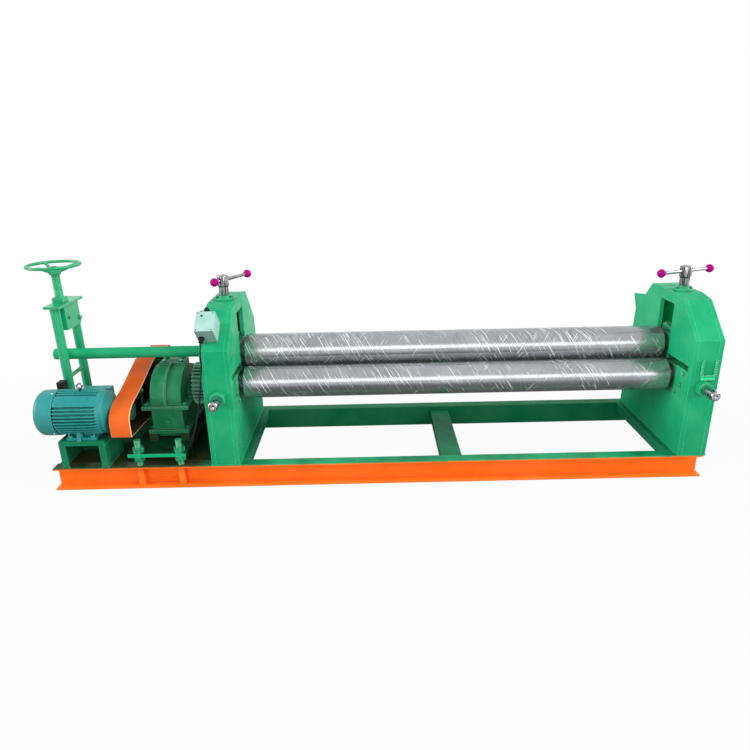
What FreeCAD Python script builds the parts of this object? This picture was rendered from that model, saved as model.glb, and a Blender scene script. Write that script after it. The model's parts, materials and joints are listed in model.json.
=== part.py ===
import FreeCAD, Part
import math
import os
from FreeCAD import Vector

# Plate rolling machine with three rolls, a belt and gear drive and a tail hold-down frame.
# Millimetres. +X runs along the rolls away from the drive, +Y to the back, +Z up.
# The origin is on the floor, in the middle of the front beam's underside, at mid roll length.

# Fits
RUN_FIT = 0.08            # radial running clearance of shafts and screws
SLIDE_GAP = 0.3           # side clearance of sliding blocks
SEAT_GAP = 0.05           # radial clearance of a wheel seated on its shaft

# Base frame
FLANGE_WIDTH = 58.0
BEAM_HEIGHT = 112.0
BEAM_WALL = 9.0
BASE_LEFT = -1907.0
BASE_RIGHT = 1151.0
BASE_DEPTH = 718.0
CROSS_WIDTH = 100.0
CROSS_LEG = 48.0
CROSS_WALL = 8.0
CENTRE_CROSS_X = -22.0
CENTRE_CROSS_TOP = 91.0
HOUSING_CROSS_X = 1045.0
DRIVE_CROSS_X = -1440.0
DECK_LEFT = -1897.0
DECK_THICKNESS = 8.0
STIFFENER_WIDTH = 26.0
STIFFENER_DEPTH = 36.0

# Rolls
ROLL_LENGTH = 2020.0
TOP_ROLL_DIAMETER = 160.0
LOW_ROLL_DIAMETER = 152.0
ROLL_LINE_DEPTH = 311.0   # from the base's front edge to the top roll's axis
LOW_AXIS_Z = 452.0
TOP_AXIS_Z = 580.0
LOW_ROLL_OFFSET = 104.0   # each lower roll's axis to the roll line
JOURNAL_DIAMETER = 80.0
ROLL_CHAMFER = 4.0
TAIL_DIAMETER = 54.0
TAIL_END_X = -1952.0

# Housings
HOUSING_GAP = 20.0        # roll face end to the housing
HOUSING_WIDTH = 130.0
HOUSING_FRONT = 5.0       # from the base's front edge
HOUSING_DEPTH = 695.0
HOUSING_TOP = 835.0
FRONT_SHOULDER_Z = 672.0
CREST_DEPTH = 165.0
CREST_Z = HOUSING_TOP - 15.0
TOP_FRONT_DEPTH = 250.0
TOP_REAR_DEPTH = 490.0
REAR_SHOULDER_DEPTH = 648.0
REAR_SHOULDER_Z = 664.0
SIDE_WALL = 20.0
BAND_WALL = 20.0
BAND_INSET = 0.6          # the band's faces lie this far inside the side plates' edges
SLOT_FRONT_DEPTH = 34.0
SLOT_FLOOR_Z = 372.0
SLOT_ROOF_Z = 545.0
WINDOW_ROOF_Z = HOUSING_TOP - 50.0
REAR_LUG_FRONT = 557.0
REAR_LUG_TIP = (690.0, 740.0)         # depth and height of the lug's far corner
REAR_LUG_WALL = 16.0

# Bearing blocks
LOW_BLOCK_WIDTH = 116.0
LOW_BLOCK_RISE = 58.0     # from the lower axis to the block's top
TOP_BLOCK_WIDTH = 140.0
TOP_BLOCK_DROP = 62.0
TOP_BLOCK_RISE = 56.0
BLOCK_END_GAP = 2.0       # block ends behind the housing's faces
THRUST_PLATE_HEIGHT = 22.0
THRUST_PLATE_WIDTH = 84.0
THRUST_PLATE_DEPTH = 130.0
LEDGE_LEFT = 1078.0       # welded strips on the right housing's front
LEDGE_RIGHT = 1138.0
LEDGE_BOTTOM_Z = 491.0
LEDGE_TOP_Z = 507.0
LEDGE_DEPTH = 9.0
STRIP_TOP_Z = 584.0
STRIP_WIDTH = 6.0
STRIP_DEPTH = 4.0
KEEPER_TOP_Z = 517.0
KEEPER_END_GAP = 10.0     # keeper's rear edge in front of the bearing block
KEEPER_BOLTS = ((66.0, 499.0), (82.0, 440.0), (122.0, 392.0))   # depth and height

# Press screws with their sliding bars
PRESS_SCREW_DIAMETER = 46.0
SCREW_FOOT_DIAMETER = 62.0
SCREW_FOOT_HEIGHT = 12.0
SCREW_HEAD_DIAMETER = 54.0
SCREW_HEAD_Z = HOUSING_TOP + 68.0
SCREW_HEAD_HEIGHT = 48.0
BAR_DIAMETER = 16.0
BAR_Z = HOUSING_TOP + 92.0
BALL_DIAMETER = 40.0
LEFT_BAR_SPAN = 240.0     # between the ball centres
RIGHT_BAR_SPAN = 300.0
LEFT_BAR_ANGLE = 62.0
LEFT_BAR_SHIFT = 62.0     # the left bar is pushed through its screw head
RIGHT_BAR_ANGLE = 21.0
NUT_FLANGE_DIAMETER = 86.0
NUT_FLANGE_HEIGHT = 10.0
NUT_COLLAR_DIAMETER = 56.0
NUT_COLLAR_HEIGHT = 22.0
NUT_BODY_DIAMETER = 68.0
NUT_BODY_BOTTOM_Z = HOUSING_TOP - 45.0
NUT_BOLT_RADIUS = 35.5

# Front adjusting screws
FRONT_SCREW_DIAMETER = 45.0
FRONT_SCREW_REACH = 108.0   # in front of the base
TOMMY_HOLE_DIAMETER = 14.0
TOMMY_HOLE_REACH = 80.0
FRONT_NUT_FLATS = 64.0
FRONT_NUT_LENGTH = 30.0

# Gear train
ROLL_GEAR_MODULE = 6.0
ROLL_GEAR_TEETH = 32
PINION_TEETH = 15
ROLL_GEAR_WIDTH = 60.0
GEAR_SPACER = 22.0        # left housing to the roll gears
GEAR_SEAT_DIAMETER = 70.0
PINION_BORE = 48.0
SLOW_MODULE = 4.0
SLOW_GEAR_TEETH = 68
SLOW_PINION_TEETH = 14
SLOW_GEAR_WIDTH = 46.0
FAST_MODULE = 2.0
FAST_GEAR_TEETH = 72
FAST_PINION_TEETH = 16
FAST_GEAR_WIDTH = 26.0
BACKLASH = 0.12           # tooth thinning as a share of the module
FRONT_GEAR_LEAN = 0.6     # how far the front gear's teeth rest off the middle of the pinion's gaps
ADDENDUM = 0.9            # in modules
DEDENDUM = 1.25

# Reducer
REDUCER_X = -1390.0
CASE_HALF_WIDTH = 73.0
CASE_WALL = 9.0
DOME_RADIUS = 156.0
MIDDLE_DOME_RADIUS = 98.0
REAR_DOME_RADIUS = 52.0
CASE_FLANGE_HALF_WIDTH = 111.0
CASE_FLANGE_HEIGHT = 12.0
LID_FLANGE_HEIGHT = 6.0
CASE_FLANGE_LIP = 24.0
SUMP_BOTTOM_Z = 196.0
SUMP_HALF_WIDTH = 56.0
FOOT_HALF_WIDTH = 96.0
FOOT_HEIGHT = 18.0
FOOT_BOTTOM_Z = 218.0
FOOT_LIP = 12.0
OUTPUT_SHAFT_DIAMETER = 60.0
MIDDLE_SHAFT_DIAMETER = 36.0
INPUT_SHAFT_DIAMETER = 24.0
BOSS_WALL = 16.0
COVER_PAD_LENGTH = 92.0
COVER_PAD_HALF_WIDTH = 60.0
COVER_PAD_TOP_Z = 524.0
DOME_RIB_WIDTH = 12.0
DOME_RIB_HEIGHT = 10.0
FLANGE_BOLT_SPACING = 92.0
DRAIN_PLUG_Z = 272.0

# Reducer support on adjustable studs
SUPPORT_LEFT = -1548.0
SUPPORT_RIGHT = -1278.0
SUPPORT_THICKNESS = 18.0
SUPPORT_TOP_Z = 178.0
STUD_LEFT_X = -1503.0
STUD_RIGHT_X = -1311.0
STUD_DEPTH = 28.0         # from the base's edge
STUD_DIAMETER = 30.0
STUD_TOP_Z = 241.0
STUD_NUT_FLATS = 46.0
STUD_NUT_HEIGHT = 24.0

# Motor and its stand
MOTOR_DEPTH = 96.0        # axis behind the base's front edge
MOTOR_SHAFT_HEIGHT = 112.0
MOTOR_RADIUS = 108.0
CORE_INSET = 16.0         # body's ends to the rotor core
MOTOR_LEFT = -1949.0
FAN_COVER_LENGTH = 92.0
MOTOR_BODY_LENGTH = 214.0
END_SHIELD_LENGTH = 33.0
END_SHIELD_NOSE_RADIUS = 46.0
FIN_COUNT = 40
FIN_HEIGHT = 15.0
FIN_THICKNESS = 4.0
STATOR_BORE = 110.0
AIR_GAP = 0.6
MOTOR_SHAFT_DIAMETER = 28.0
FOOT_SPAN = 172.0
FOOT_LENGTH = 140.0
FOOT_THICKNESS = 16.0
FAN_COVER_WALL = 2.5
FAN_BLADES = 7
STAND_LEFT = -1857.0
STAND_WIDTH = 211.0
STAND_FRONT = 4.0         # from the base's front edge
STAND_DEPTH = 196.0
STAND_TOP_Z = 249.0
STAND_TOP_WALL = 22.0
STAND_WALL = 9.0
STAND_LEG_FLANGE = 28.0
TERMINAL_BOX_SIZE = (132.0, 68.0, 62.0)
TERMINAL_BOX_LEFT = -1776.0
TERMINAL_BOX_TOP_Z = 452.0
TERMINAL_BOX_SHIFT = 36.0  # its front face behind the motor's axis
PLUG_SIZE = (30.0, 44.0, 62.0)
PLUG_LEFT = -1893.0
PLUG_TOP_Z = 484.0
PLUG_SHIFT = 62.0

# Belt drive
GUARD_LEFT = -1607.0
GUARD_WIDTH = 96.0
GUARD_WALL = 3.0
# The guard's side outline, as depths from the base's front edge and heights
GUARD_CORNERS = (
    (3.0, 267.0), (690.0, 245.0), (690.0, 500.0), (660.0, 512.0), (414.0, 512.0), (193.0, 437.0),
    (66.0, 407.0), (30.0, 386.0), (11.0, 364.0), (3.0, 338.0),
)
GUARD_SCREW_Z = 425.0     # on the front stay
STAY_WIDTH = 24.0
STAY_THICKNESS = 5.0
STAY_DEPTHS = (194.0, 460.0)          # from the base's front edge
MOTOR_PULLEY_DIAMETER = 88.0
DRIVEN_PULLEY_DIAMETER = 196.0
PULLEY_WIDTH = 62.0
GROOVE_COUNT = 3
GROOVE_PITCH = 19.0
GROOVE_DEPTH = 14.0
GROOVE_TOP_WIDTH = 13.0
GROOVE_FLOOR_WIDTH = 8.0
BELT_HEIGHT = 10.0

# Tail hold-down frame
TAIL_FRAME_X = -1876.0
POST_DIAMETER = 43.0
FRONT_POST_OFFSET = 67.0  # post axes to the roll line
REAR_POST_OFFSET = 109.0
POST_TOP_Z = 824.0
TOP_PLATE_THICKNESS = 12.0
TOP_PLATE_WIDTH = 78.0
TOP_PLATE_FRONT = 94.0    # from the roll line
TOP_PLATE_REAR = 146.0
NUT_BLOCK_WIDTH = 49.0
NUT_BLOCK_FRONT = 25.0    # from the roll line
NUT_BLOCK_WRAP = 9.0      # past the rear post's middle
NUT_BLOCK_BOTTOM_Z = 706.0
NUT_BOSS_WIDTH = 50.0
NUT_BOSS_LENGTH = 54.0
NUT_BOSS_TOP_Z = 863.0
TAIL_SCREW_DIAMETER = 40.0
TAIL_FOOT_HEIGHT = 12.0
TIE_BAR_DIAMETER = 20.0
TIE_BAR_Z = 480.0
CLAMP_BOLT_Z = 736.0
NUT_LOCK_BOLT = (7.0, 761.0)          # behind the roll line, and height
CLAMP_BOLT_DIAMETER = 14.0
WHEEL_RADIUS = 112.0
WHEEL_RIM_DIAMETER = 20.0
WHEEL_Z = 1014.0
HUB_BOTTOM_Z = 970.0
HUB_HEIGHT = 36.0
HUB_DIAMETER = 56.0
HUB_BORE = 28.0
SPOKE_COUNT = 3
SPOKE_DIAMETER = 15.0
SPOKE_ANGLE = 17.0

# Control box and its cable
BOX_WIDTH = 82.0
BOX_LENGTH = 100.0
BOX_DEPTH = 92.0
BOX_WALL = 2.5
BOX_CLIMB = 46.0          # along the sloping face, from the shoulder to the box
BOX_COVER = 4.0
GLAND_INSET = 19.0        # from the box's outer side
GLAND_STAND = 40.0        # above the sloping face
GLAND_LENGTH = 24.0
GLAND_DIAMETER = 24.0
CABLE_DIAMETER = 8.0
GROMMET_HEIGHT = 10.0
MOTOR_EYE_X = -1755.0
EYE_RADIUS = 12.0
EYE_WIRE = 4.5

# Fasteners
BOLT_DIAMETER = 12.0
BOLT_FLATS = 19.0
BOLT_HEAD = 8.0
SMALL_BOLT_FLATS = 13.0

# Places worked out from the sizes above
BASE_FRONT = -FLANGE_WIDTH / 2
BASE_REAR = BASE_FRONT + BASE_DEPTH
ROLL_Y = BASE_FRONT + ROLL_LINE_DEPTH
FRONT_ROLL_Y = ROLL_Y - LOW_ROLL_OFFSET
REAR_ROLL_Y = ROLL_Y + LOW_ROLL_OFFSET
HALF_ROLL = ROLL_LENGTH / 2
INNER_X = HALF_ROLL + HOUSING_GAP
OUTER_X = INNER_X + HOUSING_WIDTH
SCREW_X = (INNER_X + OUTER_X) / 2
GEAR_RIGHT = -OUTER_X - GEAR_SPACER
GEAR_LEFT = GEAR_RIGHT - ROLL_GEAR_WIDTH
ROLL_GEAR_CENTRES = ROLL_GEAR_MODULE * (ROLL_GEAR_TEETH + PINION_TEETH) / 2
SHAFT_Z = LOW_AXIS_Z - math.sqrt(ROLL_GEAR_CENTRES ** 2 - LOW_ROLL_OFFSET ** 2)
MIDDLE_SHAFT_Y = ROLL_Y + SLOW_MODULE * (SLOW_GEAR_TEETH + SLOW_PINION_TEETH) / 2
INPUT_SHAFT_Y = MIDDLE_SHAFT_Y + FAST_MODULE * (FAST_GEAR_TEETH + FAST_PINION_TEETH) / 2
MOTOR_Y = BASE_FRONT + MOTOR_DEPTH
MOTOR_Z = STAND_TOP_Z + MOTOR_SHAFT_HEIGHT
MOTOR_BODY_LEFT = MOTOR_LEFT + FAN_COVER_LENGTH
MOTOR_BODY_RIGHT = MOTOR_BODY_LEFT + MOTOR_BODY_LENGTH
GUARD_RIGHT = GUARD_LEFT + GUARD_WIDTH
PULLEY_MIDDLE = (GUARD_LEFT + GUARD_RIGHT) / 2
PULLEY_LEFT = PULLEY_MIDDLE - PULLEY_WIDTH / 2
PULLEY_RIGHT = PULLEY_MIDDLE + PULLEY_WIDTH / 2
TAIL_Y = ROLL_Y
TOP_BLOCK_TOP = TOP_AXIS_Z + TOP_BLOCK_RISE
SUPPORT_BOTTOM_Z = SUPPORT_TOP_Z - SUPPORT_THICKNESS
FOOT_TOP_Z = FOOT_BOTTOM_Z + FOOT_HEIGHT
SLOPE_FOOT = (BASE_FRONT + HOUSING_FRONT, FRONT_SHOULDER_Z)
SLOPE_HEAD = (BASE_FRONT + CREST_DEPTH, CREST_Z)

# The control cable's route, from the box's gland to the grommet in the deck
GROMMET_PLACE = (-1268.0, BASE_FRONT + 84.0)
CABLE_MIDDLE = (
    (-1144.0, BASE_FRONT - 29.0, 616.0),
    (-1156.0, BASE_FRONT - 20.0, 556.0),
    (-1167.0, BASE_FRONT - 13.0, 492.0),
    (-1181.0, BASE_FRONT - 9.0, 424.0),
    (-1199.0, BASE_FRONT - 7.0, 350.0),
    (-1224.0, BASE_FRONT - 2.0, 282.0),
    (-1246.0, BASE_FRONT + 16.0, 228.0),
    (-1260.0, BASE_FRONT + 47.0, 192.0),
    (-1267.0, BASE_FRONT + 75.0, 166.0),
)


# Basic shapes

def box(x_ends, y_ends, z_ends):
    """A block between two corners, each pair of ends in either order."""
    lows = [min(ends) for ends in (x_ends, y_ends, z_ends)]
    sides = [abs(ends[1] - ends[0]) for ends in (x_ends, y_ends, z_ends)]
    return Part.makeBox(sides[0], sides[1], sides[2], Vector(*lows))


def rod(start, end, radius):
    """A round bar from one point to another."""
    first = Vector(*start)
    along = Vector(*end) - first
    return Part.makeCylinder(radius, along.Length, first, along)


def rod_x(x_ends, y, z, radius):
    return rod((min(x_ends), y, z), (max(x_ends), y, z), radius)


def rod_y(y_ends, x, z, radius):
    return rod((x, min(y_ends), z), (x, max(y_ends), z), radius)


def rod_z(z_ends, x, y, radius):
    return rod((x, y, min(z_ends)), (x, y, max(z_ends)), radius)


def prism_x(outline, x_ends):
    """An outline of (y, z) points pulled along X."""
    low = min(x_ends)
    points = [Vector(low, y, z) for y, z in outline]
    face = Part.Face(Part.makePolygon(points + points[:1]))
    return face.extrude(Vector(max(x_ends) - low, 0, 0))


def hexagon(start, end, flats):
    """A hexagonal bar from one point to another, flats wide."""
    first = Vector(*start)
    along = Vector(*end) - first
    side = Vector(0, 0, 1) if abs(along.z) < 0.5 * along.Length else Vector(1, 0, 0)
    corner = side.normalize() * (flats / math.sqrt(3))
    turned = FreeCAD.Rotation(along, 60)
    points = [first + corner]
    for _ in range(5):
        corner = turned.multVec(corner)
        points.append(first + corner)
    return Part.Face(Part.makePolygon(points + points[:1])).extrude(along)


def turned_x(profile, y, z):
    """A turned piece: (x, radius) points spun round an axis along X."""
    points = [Vector(x, y, z + radius) for x, radius in profile]
    face = Part.Face(Part.makePolygon(points + points[:1]))
    return face.revolve(Vector(0, y, z), Vector(1, 0, 0), 360)


def joined(solids):
    """Several overlapping solids as one."""
    return solids[0].fuse(solids[1:]).removeSplitter()


def bolt_head(place, outward, flats=BOLT_FLATS):
    """A hexagon head on a face, with its washer face flush with it."""
    base = Vector(*place)
    tip = base + Vector(*outward) * BOLT_HEAD
    return hexagon(tuple(base), tuple(tip), flats)


def inset(outline, distance):
    """The (y, z) outline moved inwards by a distance, for points listed anticlockwise."""
    lines = []
    for (y0, z0), (y1, z1) in zip(outline, outline[1:] + outline[:1]):
        length = math.hypot(y1 - y0, z1 - z0)
        normal = (-(z1 - z0) / length, (y1 - y0) / length)
        lines.append((normal, normal[0] * y0 + normal[1] * z0 + distance))
    moved = []
    for (n0, c0), (n1, c1) in zip(lines[-1:] + lines[:-1], lines):
        turn = n0[0] * n1[1] - n0[1] * n1[0]
        moved.append(((c0 * n1[1] - c1 * n0[1]) / turn, (n0[0] * c1 - n1[0] * c0) / turn))
    return moved


# Gears

def tooth_flank(teeth, module, radius):
    """Half the tooth's angle at a radius: pitch half angle less the involute's spread."""
    pitch_radius = module * teeth / 2
    base_radius = pitch_radius * math.cos(math.radians(20))
    reach = max(radius, base_radius)
    at_pitch = math.acos(base_radius / pitch_radius)
    at_radius = math.acos(base_radius / reach)
    spread = (math.tan(at_radius) - at_radius) - (math.tan(at_pitch) - at_pitch)
    half_pitch = math.pi / (2 * teeth) - BACKLASH * module / (2 * pitch_radius)
    return half_pitch - spread


def gear(teeth, module, x_ends, y, z, phase, bore):
    """A spur gear along X whose first tooth points at the angle phase, from +Y towards +Z."""
    pitch_radius = module * teeth / 2
    tip_radius = pitch_radius + ADDENDUM * module
    root_radius = pitch_radius - DEDENDUM * module
    start_radius = max(root_radius, pitch_radius * math.cos(math.radians(20)))
    middle_radius = (start_radius + tip_radius) / 2
    low = min(x_ends)

    def point(radius, angle):
        return Vector(low, y + radius * math.cos(angle), z + radius * math.sin(angle))

    edges = []
    for number in range(teeth):
        centre = phase + 2 * math.pi * number / teeth
        halves = [tooth_flank(teeth, module, r) for r in (start_radius, middle_radius, tip_radius)]
        radii = (start_radius, middle_radius, tip_radius)
        rise = [point(r, centre - half) for r, half in zip(radii, halves)]
        fall = [point(r, centre + half) for r, half in zip(radii, halves)][::-1]
        next_centre = centre + 2 * math.pi / teeth
        foot_in = point(root_radius, centre - halves[0])
        foot_out = point(root_radius, centre + halves[0])
        next_foot = point(root_radius, next_centre - halves[0])
        if start_radius > root_radius + 0.01:
            edges.append(Part.makeLine(foot_in, rise[0]))
        edges.append(Part.Arc(*rise).toShape())
        edges.append(Part.makeLine(rise[2], fall[0]))
        edges.append(Part.Arc(*fall).toShape())
        if start_radius > root_radius + 0.01:
            edges.append(Part.makeLine(fall[2], foot_out))
            edges.append(Part.makeLine(foot_out, next_foot))
        else:
            next_rise = point(start_radius, next_centre - halves[0])
            edges.append(Part.makeLine(fall[2], next_rise))
    wheel = Part.Face(Part.Wire(edges)).extrude(Vector(max(x_ends) - low, 0, 0))
    return wheel.cut(rod_x(x_ends, y, z, bore / 2))


def meshing_phase(phase, teeth, direction, other_teeth):
    """The phase of a gear that meshes with one of known phase, lying in a direction from it."""
    gap = direction + math.pi + (direction - phase) * teeth / other_teeth
    return gap + math.pi / other_teeth


def direction(start, end):
    return math.atan2(end[1] - start[1], end[0] - start[0])


PINION_PHASE = math.pi / 2
PINION_AXIS = (ROLL_Y, SHAFT_Z)
FRONT_AXIS = (FRONT_ROLL_Y, LOW_AXIS_Z)
REAR_AXIS = (REAR_ROLL_Y, LOW_AXIS_Z)
SLOW_PINION_PHASE = meshing_phase(0.0, SLOW_GEAR_TEETH, 0.0, SLOW_PINION_TEETH)
FAST_PINION_PHASE = meshing_phase(0.0, FAST_GEAR_TEETH, 0.0, FAST_PINION_TEETH)


def roll_gear_phase(axis, lean=0.0):
    phase = meshing_phase(PINION_PHASE, PINION_TEETH, direction(PINION_AXIS, axis), ROLL_GEAR_TEETH)
    return phase + 2 * lean / (ROLL_GEAR_TEETH * ROLL_GEAR_MODULE)


# Base frame

def channel_beam(edge_y, inward):
    """A channel along X, its flanges pointing out from the web at the machine's side."""
    web_y = edge_y + inward * FLANGE_WIDTH
    span = (BASE_LEFT, BASE_RIGHT)
    return joined([
        box(span, (web_y, web_y - inward * BEAM_WALL), (0, BEAM_HEIGHT)),
        box(span, (edge_y, web_y), (0, BEAM_WALL)),
        box(span, (edge_y, web_y), (BEAM_HEIGHT - BEAM_WALL, BEAM_HEIGHT)),
    ])


def drilled_for_studs(beam, stud_y):
    for stud_x in (STUD_LEFT_X, STUD_RIGHT_X):
        hole = rod_z((BEAM_HEIGHT - BEAM_WALL, BEAM_HEIGHT), stud_x, stud_y, STUD_DIAMETER / 2 + SEAT_GAP)
        beam = beam.cut(hole)
    return beam


def front_beam():
    return [drilled_for_studs(channel_beam(BASE_FRONT, 1), BASE_FRONT + STUD_DEPTH)]


def rear_beam():
    return [drilled_for_studs(channel_beam(BASE_REAR, -1), BASE_REAR - STUD_DEPTH)]


WEB_FACES = (BASE_FRONT + FLANGE_WIDTH, BASE_REAR - FLANGE_WIDTH)


def cross_member(x, top):
    """A channel laid flat between the beams, its legs down."""
    ends = (x - CROSS_WIDTH / 2, x + CROSS_WIDTH / 2)
    outer = box(ends, WEB_FACES, (top - CROSS_LEG, top))
    hollow_ends = (ends[0] + CROSS_WALL, ends[1] - CROSS_WALL)
    return outer.cut(box(hollow_ends, WEB_FACES, (top - CROSS_LEG, top - CROSS_WALL)))


def cross_members():
    deck_seat = BEAM_HEIGHT - DECK_THICKNESS
    places = (
        (BASE_LEFT + CROSS_WIDTH / 2, deck_seat),
        (DRIVE_CROSS_X, deck_seat),
        (-HOUSING_CROSS_X, BEAM_HEIGHT),
        (CENTRE_CROSS_X, CENTRE_CROSS_TOP),
        (HOUSING_CROSS_X, BEAM_HEIGHT),
    )
    return [cross_member(x, top) for x, top in places]


def deck_plate():
    right = -HOUSING_CROSS_X - CROSS_WIDTH / 2
    plate = box((DECK_LEFT, right), WEB_FACES, (BEAM_HEIGHT - DECK_THICKNESS, BEAM_HEIGHT))
    spot = rod_z((0, BEAM_HEIGHT), GROMMET_PLACE[0], GROMMET_PLACE[1], CABLE_DIAMETER / 2 + 1)
    return [plate.cut(spot)]


def web_stiffeners():
    """Blocks between the flanges under the studs."""
    blocks = []
    for edge_y, inward in ((BASE_FRONT, 1), (BASE_REAR, -1)):
        web_y = edge_y + inward * (FLANGE_WIDTH - BEAM_WALL)
        for x in (STUD_LEFT_X, STUD_RIGHT_X):
            ends = (x - STIFFENER_WIDTH / 2, x + STIFFENER_WIDTH / 2)
            depth = (web_y, web_y - inward * STIFFENER_DEPTH)
            blocks.append(box(ends, depth, (BEAM_WALL, BEAM_HEIGHT - BEAM_WALL)))
    return blocks


# Housings

HOUSING_OUTLINE = [
    (BASE_FRONT + HOUSING_FRONT + HOUSING_DEPTH, BEAM_HEIGHT),
    (BASE_FRONT + REAR_SHOULDER_DEPTH, REAR_SHOULDER_Z),
    (BASE_FRONT + TOP_REAR_DEPTH, HOUSING_TOP),
    (BASE_FRONT + TOP_FRONT_DEPTH, HOUSING_TOP),
    SLOPE_HEAD,
    SLOPE_FOOT,
    (BASE_FRONT + HOUSING_FRONT, BEAM_HEIGHT),
]
SLOT_FRONT = BASE_FRONT + SLOT_FRONT_DEPTH
SLOT_REAR = 2 * ROLL_Y - SLOT_FRONT
WINDOW_HALF = TOP_BLOCK_WIDTH / 2 + SLIDE_GAP


def side_plate(side, near, far):
    """One side of a housing, with the lower blocks' slot and the top block's window."""
    ends = (side * near, side * far)
    plate = prism_x(HOUSING_OUTLINE, ends)
    slot = box(ends, (SLOT_FRONT, SLOT_REAR), (SLOT_FLOOR_Z, SLOT_ROOF_Z))
    window = box(ends, (ROLL_Y - WINDOW_HALF, ROLL_Y + WINDOW_HALF), (SLOT_ROOF_Z, WINDOW_ROOF_Z))
    return plate.cut([slot, window])


def side_plates(side):
    inner = side_plate(side, INNER_X, INNER_X + SIDE_WALL)
    outer = side_plate(side, OUTER_X - SIDE_WALL, OUTER_X)
    return [inner, outer]


def rear_lug():
    """The flat lug on the right housing's rear slope."""
    fall = (HOUSING_TOP - REAR_SHOULDER_Z) / (REAR_SHOULDER_DEPTH - TOP_REAR_DEPTH)
    outline = [
        (BASE_FRONT + REAR_LUG_FRONT, HOUSING_TOP - fall * (REAR_LUG_FRONT - TOP_REAR_DEPTH)),
        (BASE_FRONT + REAR_SHOULDER_DEPTH, REAR_SHOULDER_Z),
        (BASE_FRONT + REAR_LUG_TIP[0], REAR_LUG_TIP[1]),
    ]
    return prism_x(outline, (INNER_X, INNER_X + REAR_LUG_WALL))


def housing_band(side):
    """The welded wall round a housing, between its side plates."""
    ends = (side * (INNER_X + SIDE_WALL), side * (OUTER_X - SIDE_WALL))
    outer = inset(HOUSING_OUTLINE, BAND_INSET)
    outer = [(y, z - BAND_INSET if z < SLOT_FLOOR_Z else z) for y, z in outer]
    band = prism_x(outer, ends).cut(prism_x(inset(outer, BAND_WALL), ends))
    x = side * SCREW_X
    screw_hole = rod_z((SLOT_ROOF_Z, HOUSING_TOP), x, ROLL_Y, NUT_BODY_DIAMETER / 2 + SEAT_GAP)
    front_wall = (BASE_FRONT, SLOT_FRONT)
    front_hole = rod_y(front_wall, x, LOW_AXIS_Z, FRONT_SCREW_DIAMETER / 2 + 1)
    return band.cut([screw_hole, front_hole])


def housing_bands():
    return [housing_band(-1), housing_band(1)]


BLOCK_NEAR = INNER_X + BLOCK_END_GAP
BLOCK_FAR = OUTER_X - BLOCK_END_GAP
STOP_Y = FRONT_ROLL_Y + LOW_BLOCK_WIDTH / 2
JOURNAL_BORE = JOURNAL_DIAMETER / 2 + RUN_FIT


def block_ends(side):
    return (side * BLOCK_NEAR, side * BLOCK_FAR)


def rear_bearing_blocks():
    """Fixed blocks that fill the slot behind the sliding front blocks."""
    blocks = []
    for side in (-1, 1):
        depth = (STOP_Y + SLIDE_GAP, SLOT_REAR)
        block = box(block_ends(side), depth, (SLOT_FLOOR_Z, LOW_AXIS_Z + LOW_BLOCK_RISE))
        bore = rod_x(block_ends(side), REAR_ROLL_Y, LOW_AXIS_Z, JOURNAL_BORE)
        blocks.append(block.cut(bore))
    return blocks


def front_bearing_blocks():
    blocks = []
    for side in (-1, 1):
        depth = (FRONT_ROLL_Y - LOW_BLOCK_WIDTH / 2, STOP_Y)
        block = box(block_ends(side), depth, (SLOT_FLOOR_Z, LOW_AXIS_Z + LOW_BLOCK_RISE))
        bore = rod_x(block_ends(side), FRONT_ROLL_Y, LOW_AXIS_Z, JOURNAL_BORE)
        blocks.append(block.cut(bore))
    return blocks


def front_ledge():
    """The welded ledge on the right housing's front, with a strip up each end."""
    face_y = BASE_FRONT + HOUSING_FRONT + BAND_INSET
    pieces = [box((LEDGE_LEFT, LEDGE_RIGHT), (face_y - LEDGE_DEPTH, face_y), (LEDGE_BOTTOM_Z, LEDGE_TOP_Z))]
    for ends in ((LEDGE_LEFT, LEDGE_LEFT + STRIP_WIDTH), (LEDGE_RIGHT - STRIP_WIDTH, LEDGE_RIGHT)):
        pieces.append(box(ends, (face_y - STRIP_DEPTH, face_y), (LEDGE_TOP_Z, STRIP_TOP_Z)))
    return joined(pieces)


def keeper_plates():
    """Flat keepers in the slots' mouths, in front of the sliding blocks."""
    rear = FRONT_ROLL_Y - LOW_BLOCK_WIDTH / 2 - KEEPER_END_GAP
    plates = []
    for side in (-1, 1):
        ends = (side * INNER_X, side * (INNER_X + SIDE_WALL))
        plates.append(box(ends, (SLOT_FRONT, rear), (SLOT_FLOOR_Z, KEEPER_TOP_Z)))
    return plates


def screw_nuts():
    """Flanged nuts for the press screws and hexagon nuts for the front screws."""
    nuts = []
    for side in (-1, 1):
        x = side * SCREW_X
        flange = rod_z((HOUSING_TOP, HOUSING_TOP + NUT_FLANGE_HEIGHT), x, ROLL_Y, NUT_FLANGE_DIAMETER / 2)
        collar = rod_z((HOUSING_TOP, HOUSING_TOP + NUT_COLLAR_HEIGHT), x, ROLL_Y, NUT_COLLAR_DIAMETER / 2)
        body = rod_z((NUT_BODY_BOTTOM_Z, HOUSING_TOP), x, ROLL_Y, NUT_BODY_DIAMETER / 2)
        thread = rod_z((NUT_BODY_BOTTOM_Z, SCREW_HEAD_Z), x, ROLL_Y, PRESS_SCREW_DIAMETER / 2 + RUN_FIT)
        nuts.append(joined([flange, collar, body]).cut(thread))
        face_y = BASE_FRONT + HOUSING_FRONT + BAND_INSET
        front_y = face_y - BAND_INSET - FRONT_NUT_LENGTH
        blank = hexagon((x, front_y, LOW_AXIS_Z), (x, face_y, LOW_AXIS_Z), FRONT_NUT_FLATS)
        bore = rod_y((front_y, face_y), x, LOW_AXIS_Z, FRONT_SCREW_DIAMETER / 2 + RUN_FIT)
        nuts.append(blank.cut(bore))
    return nuts


# Rolls and their blocks

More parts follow.
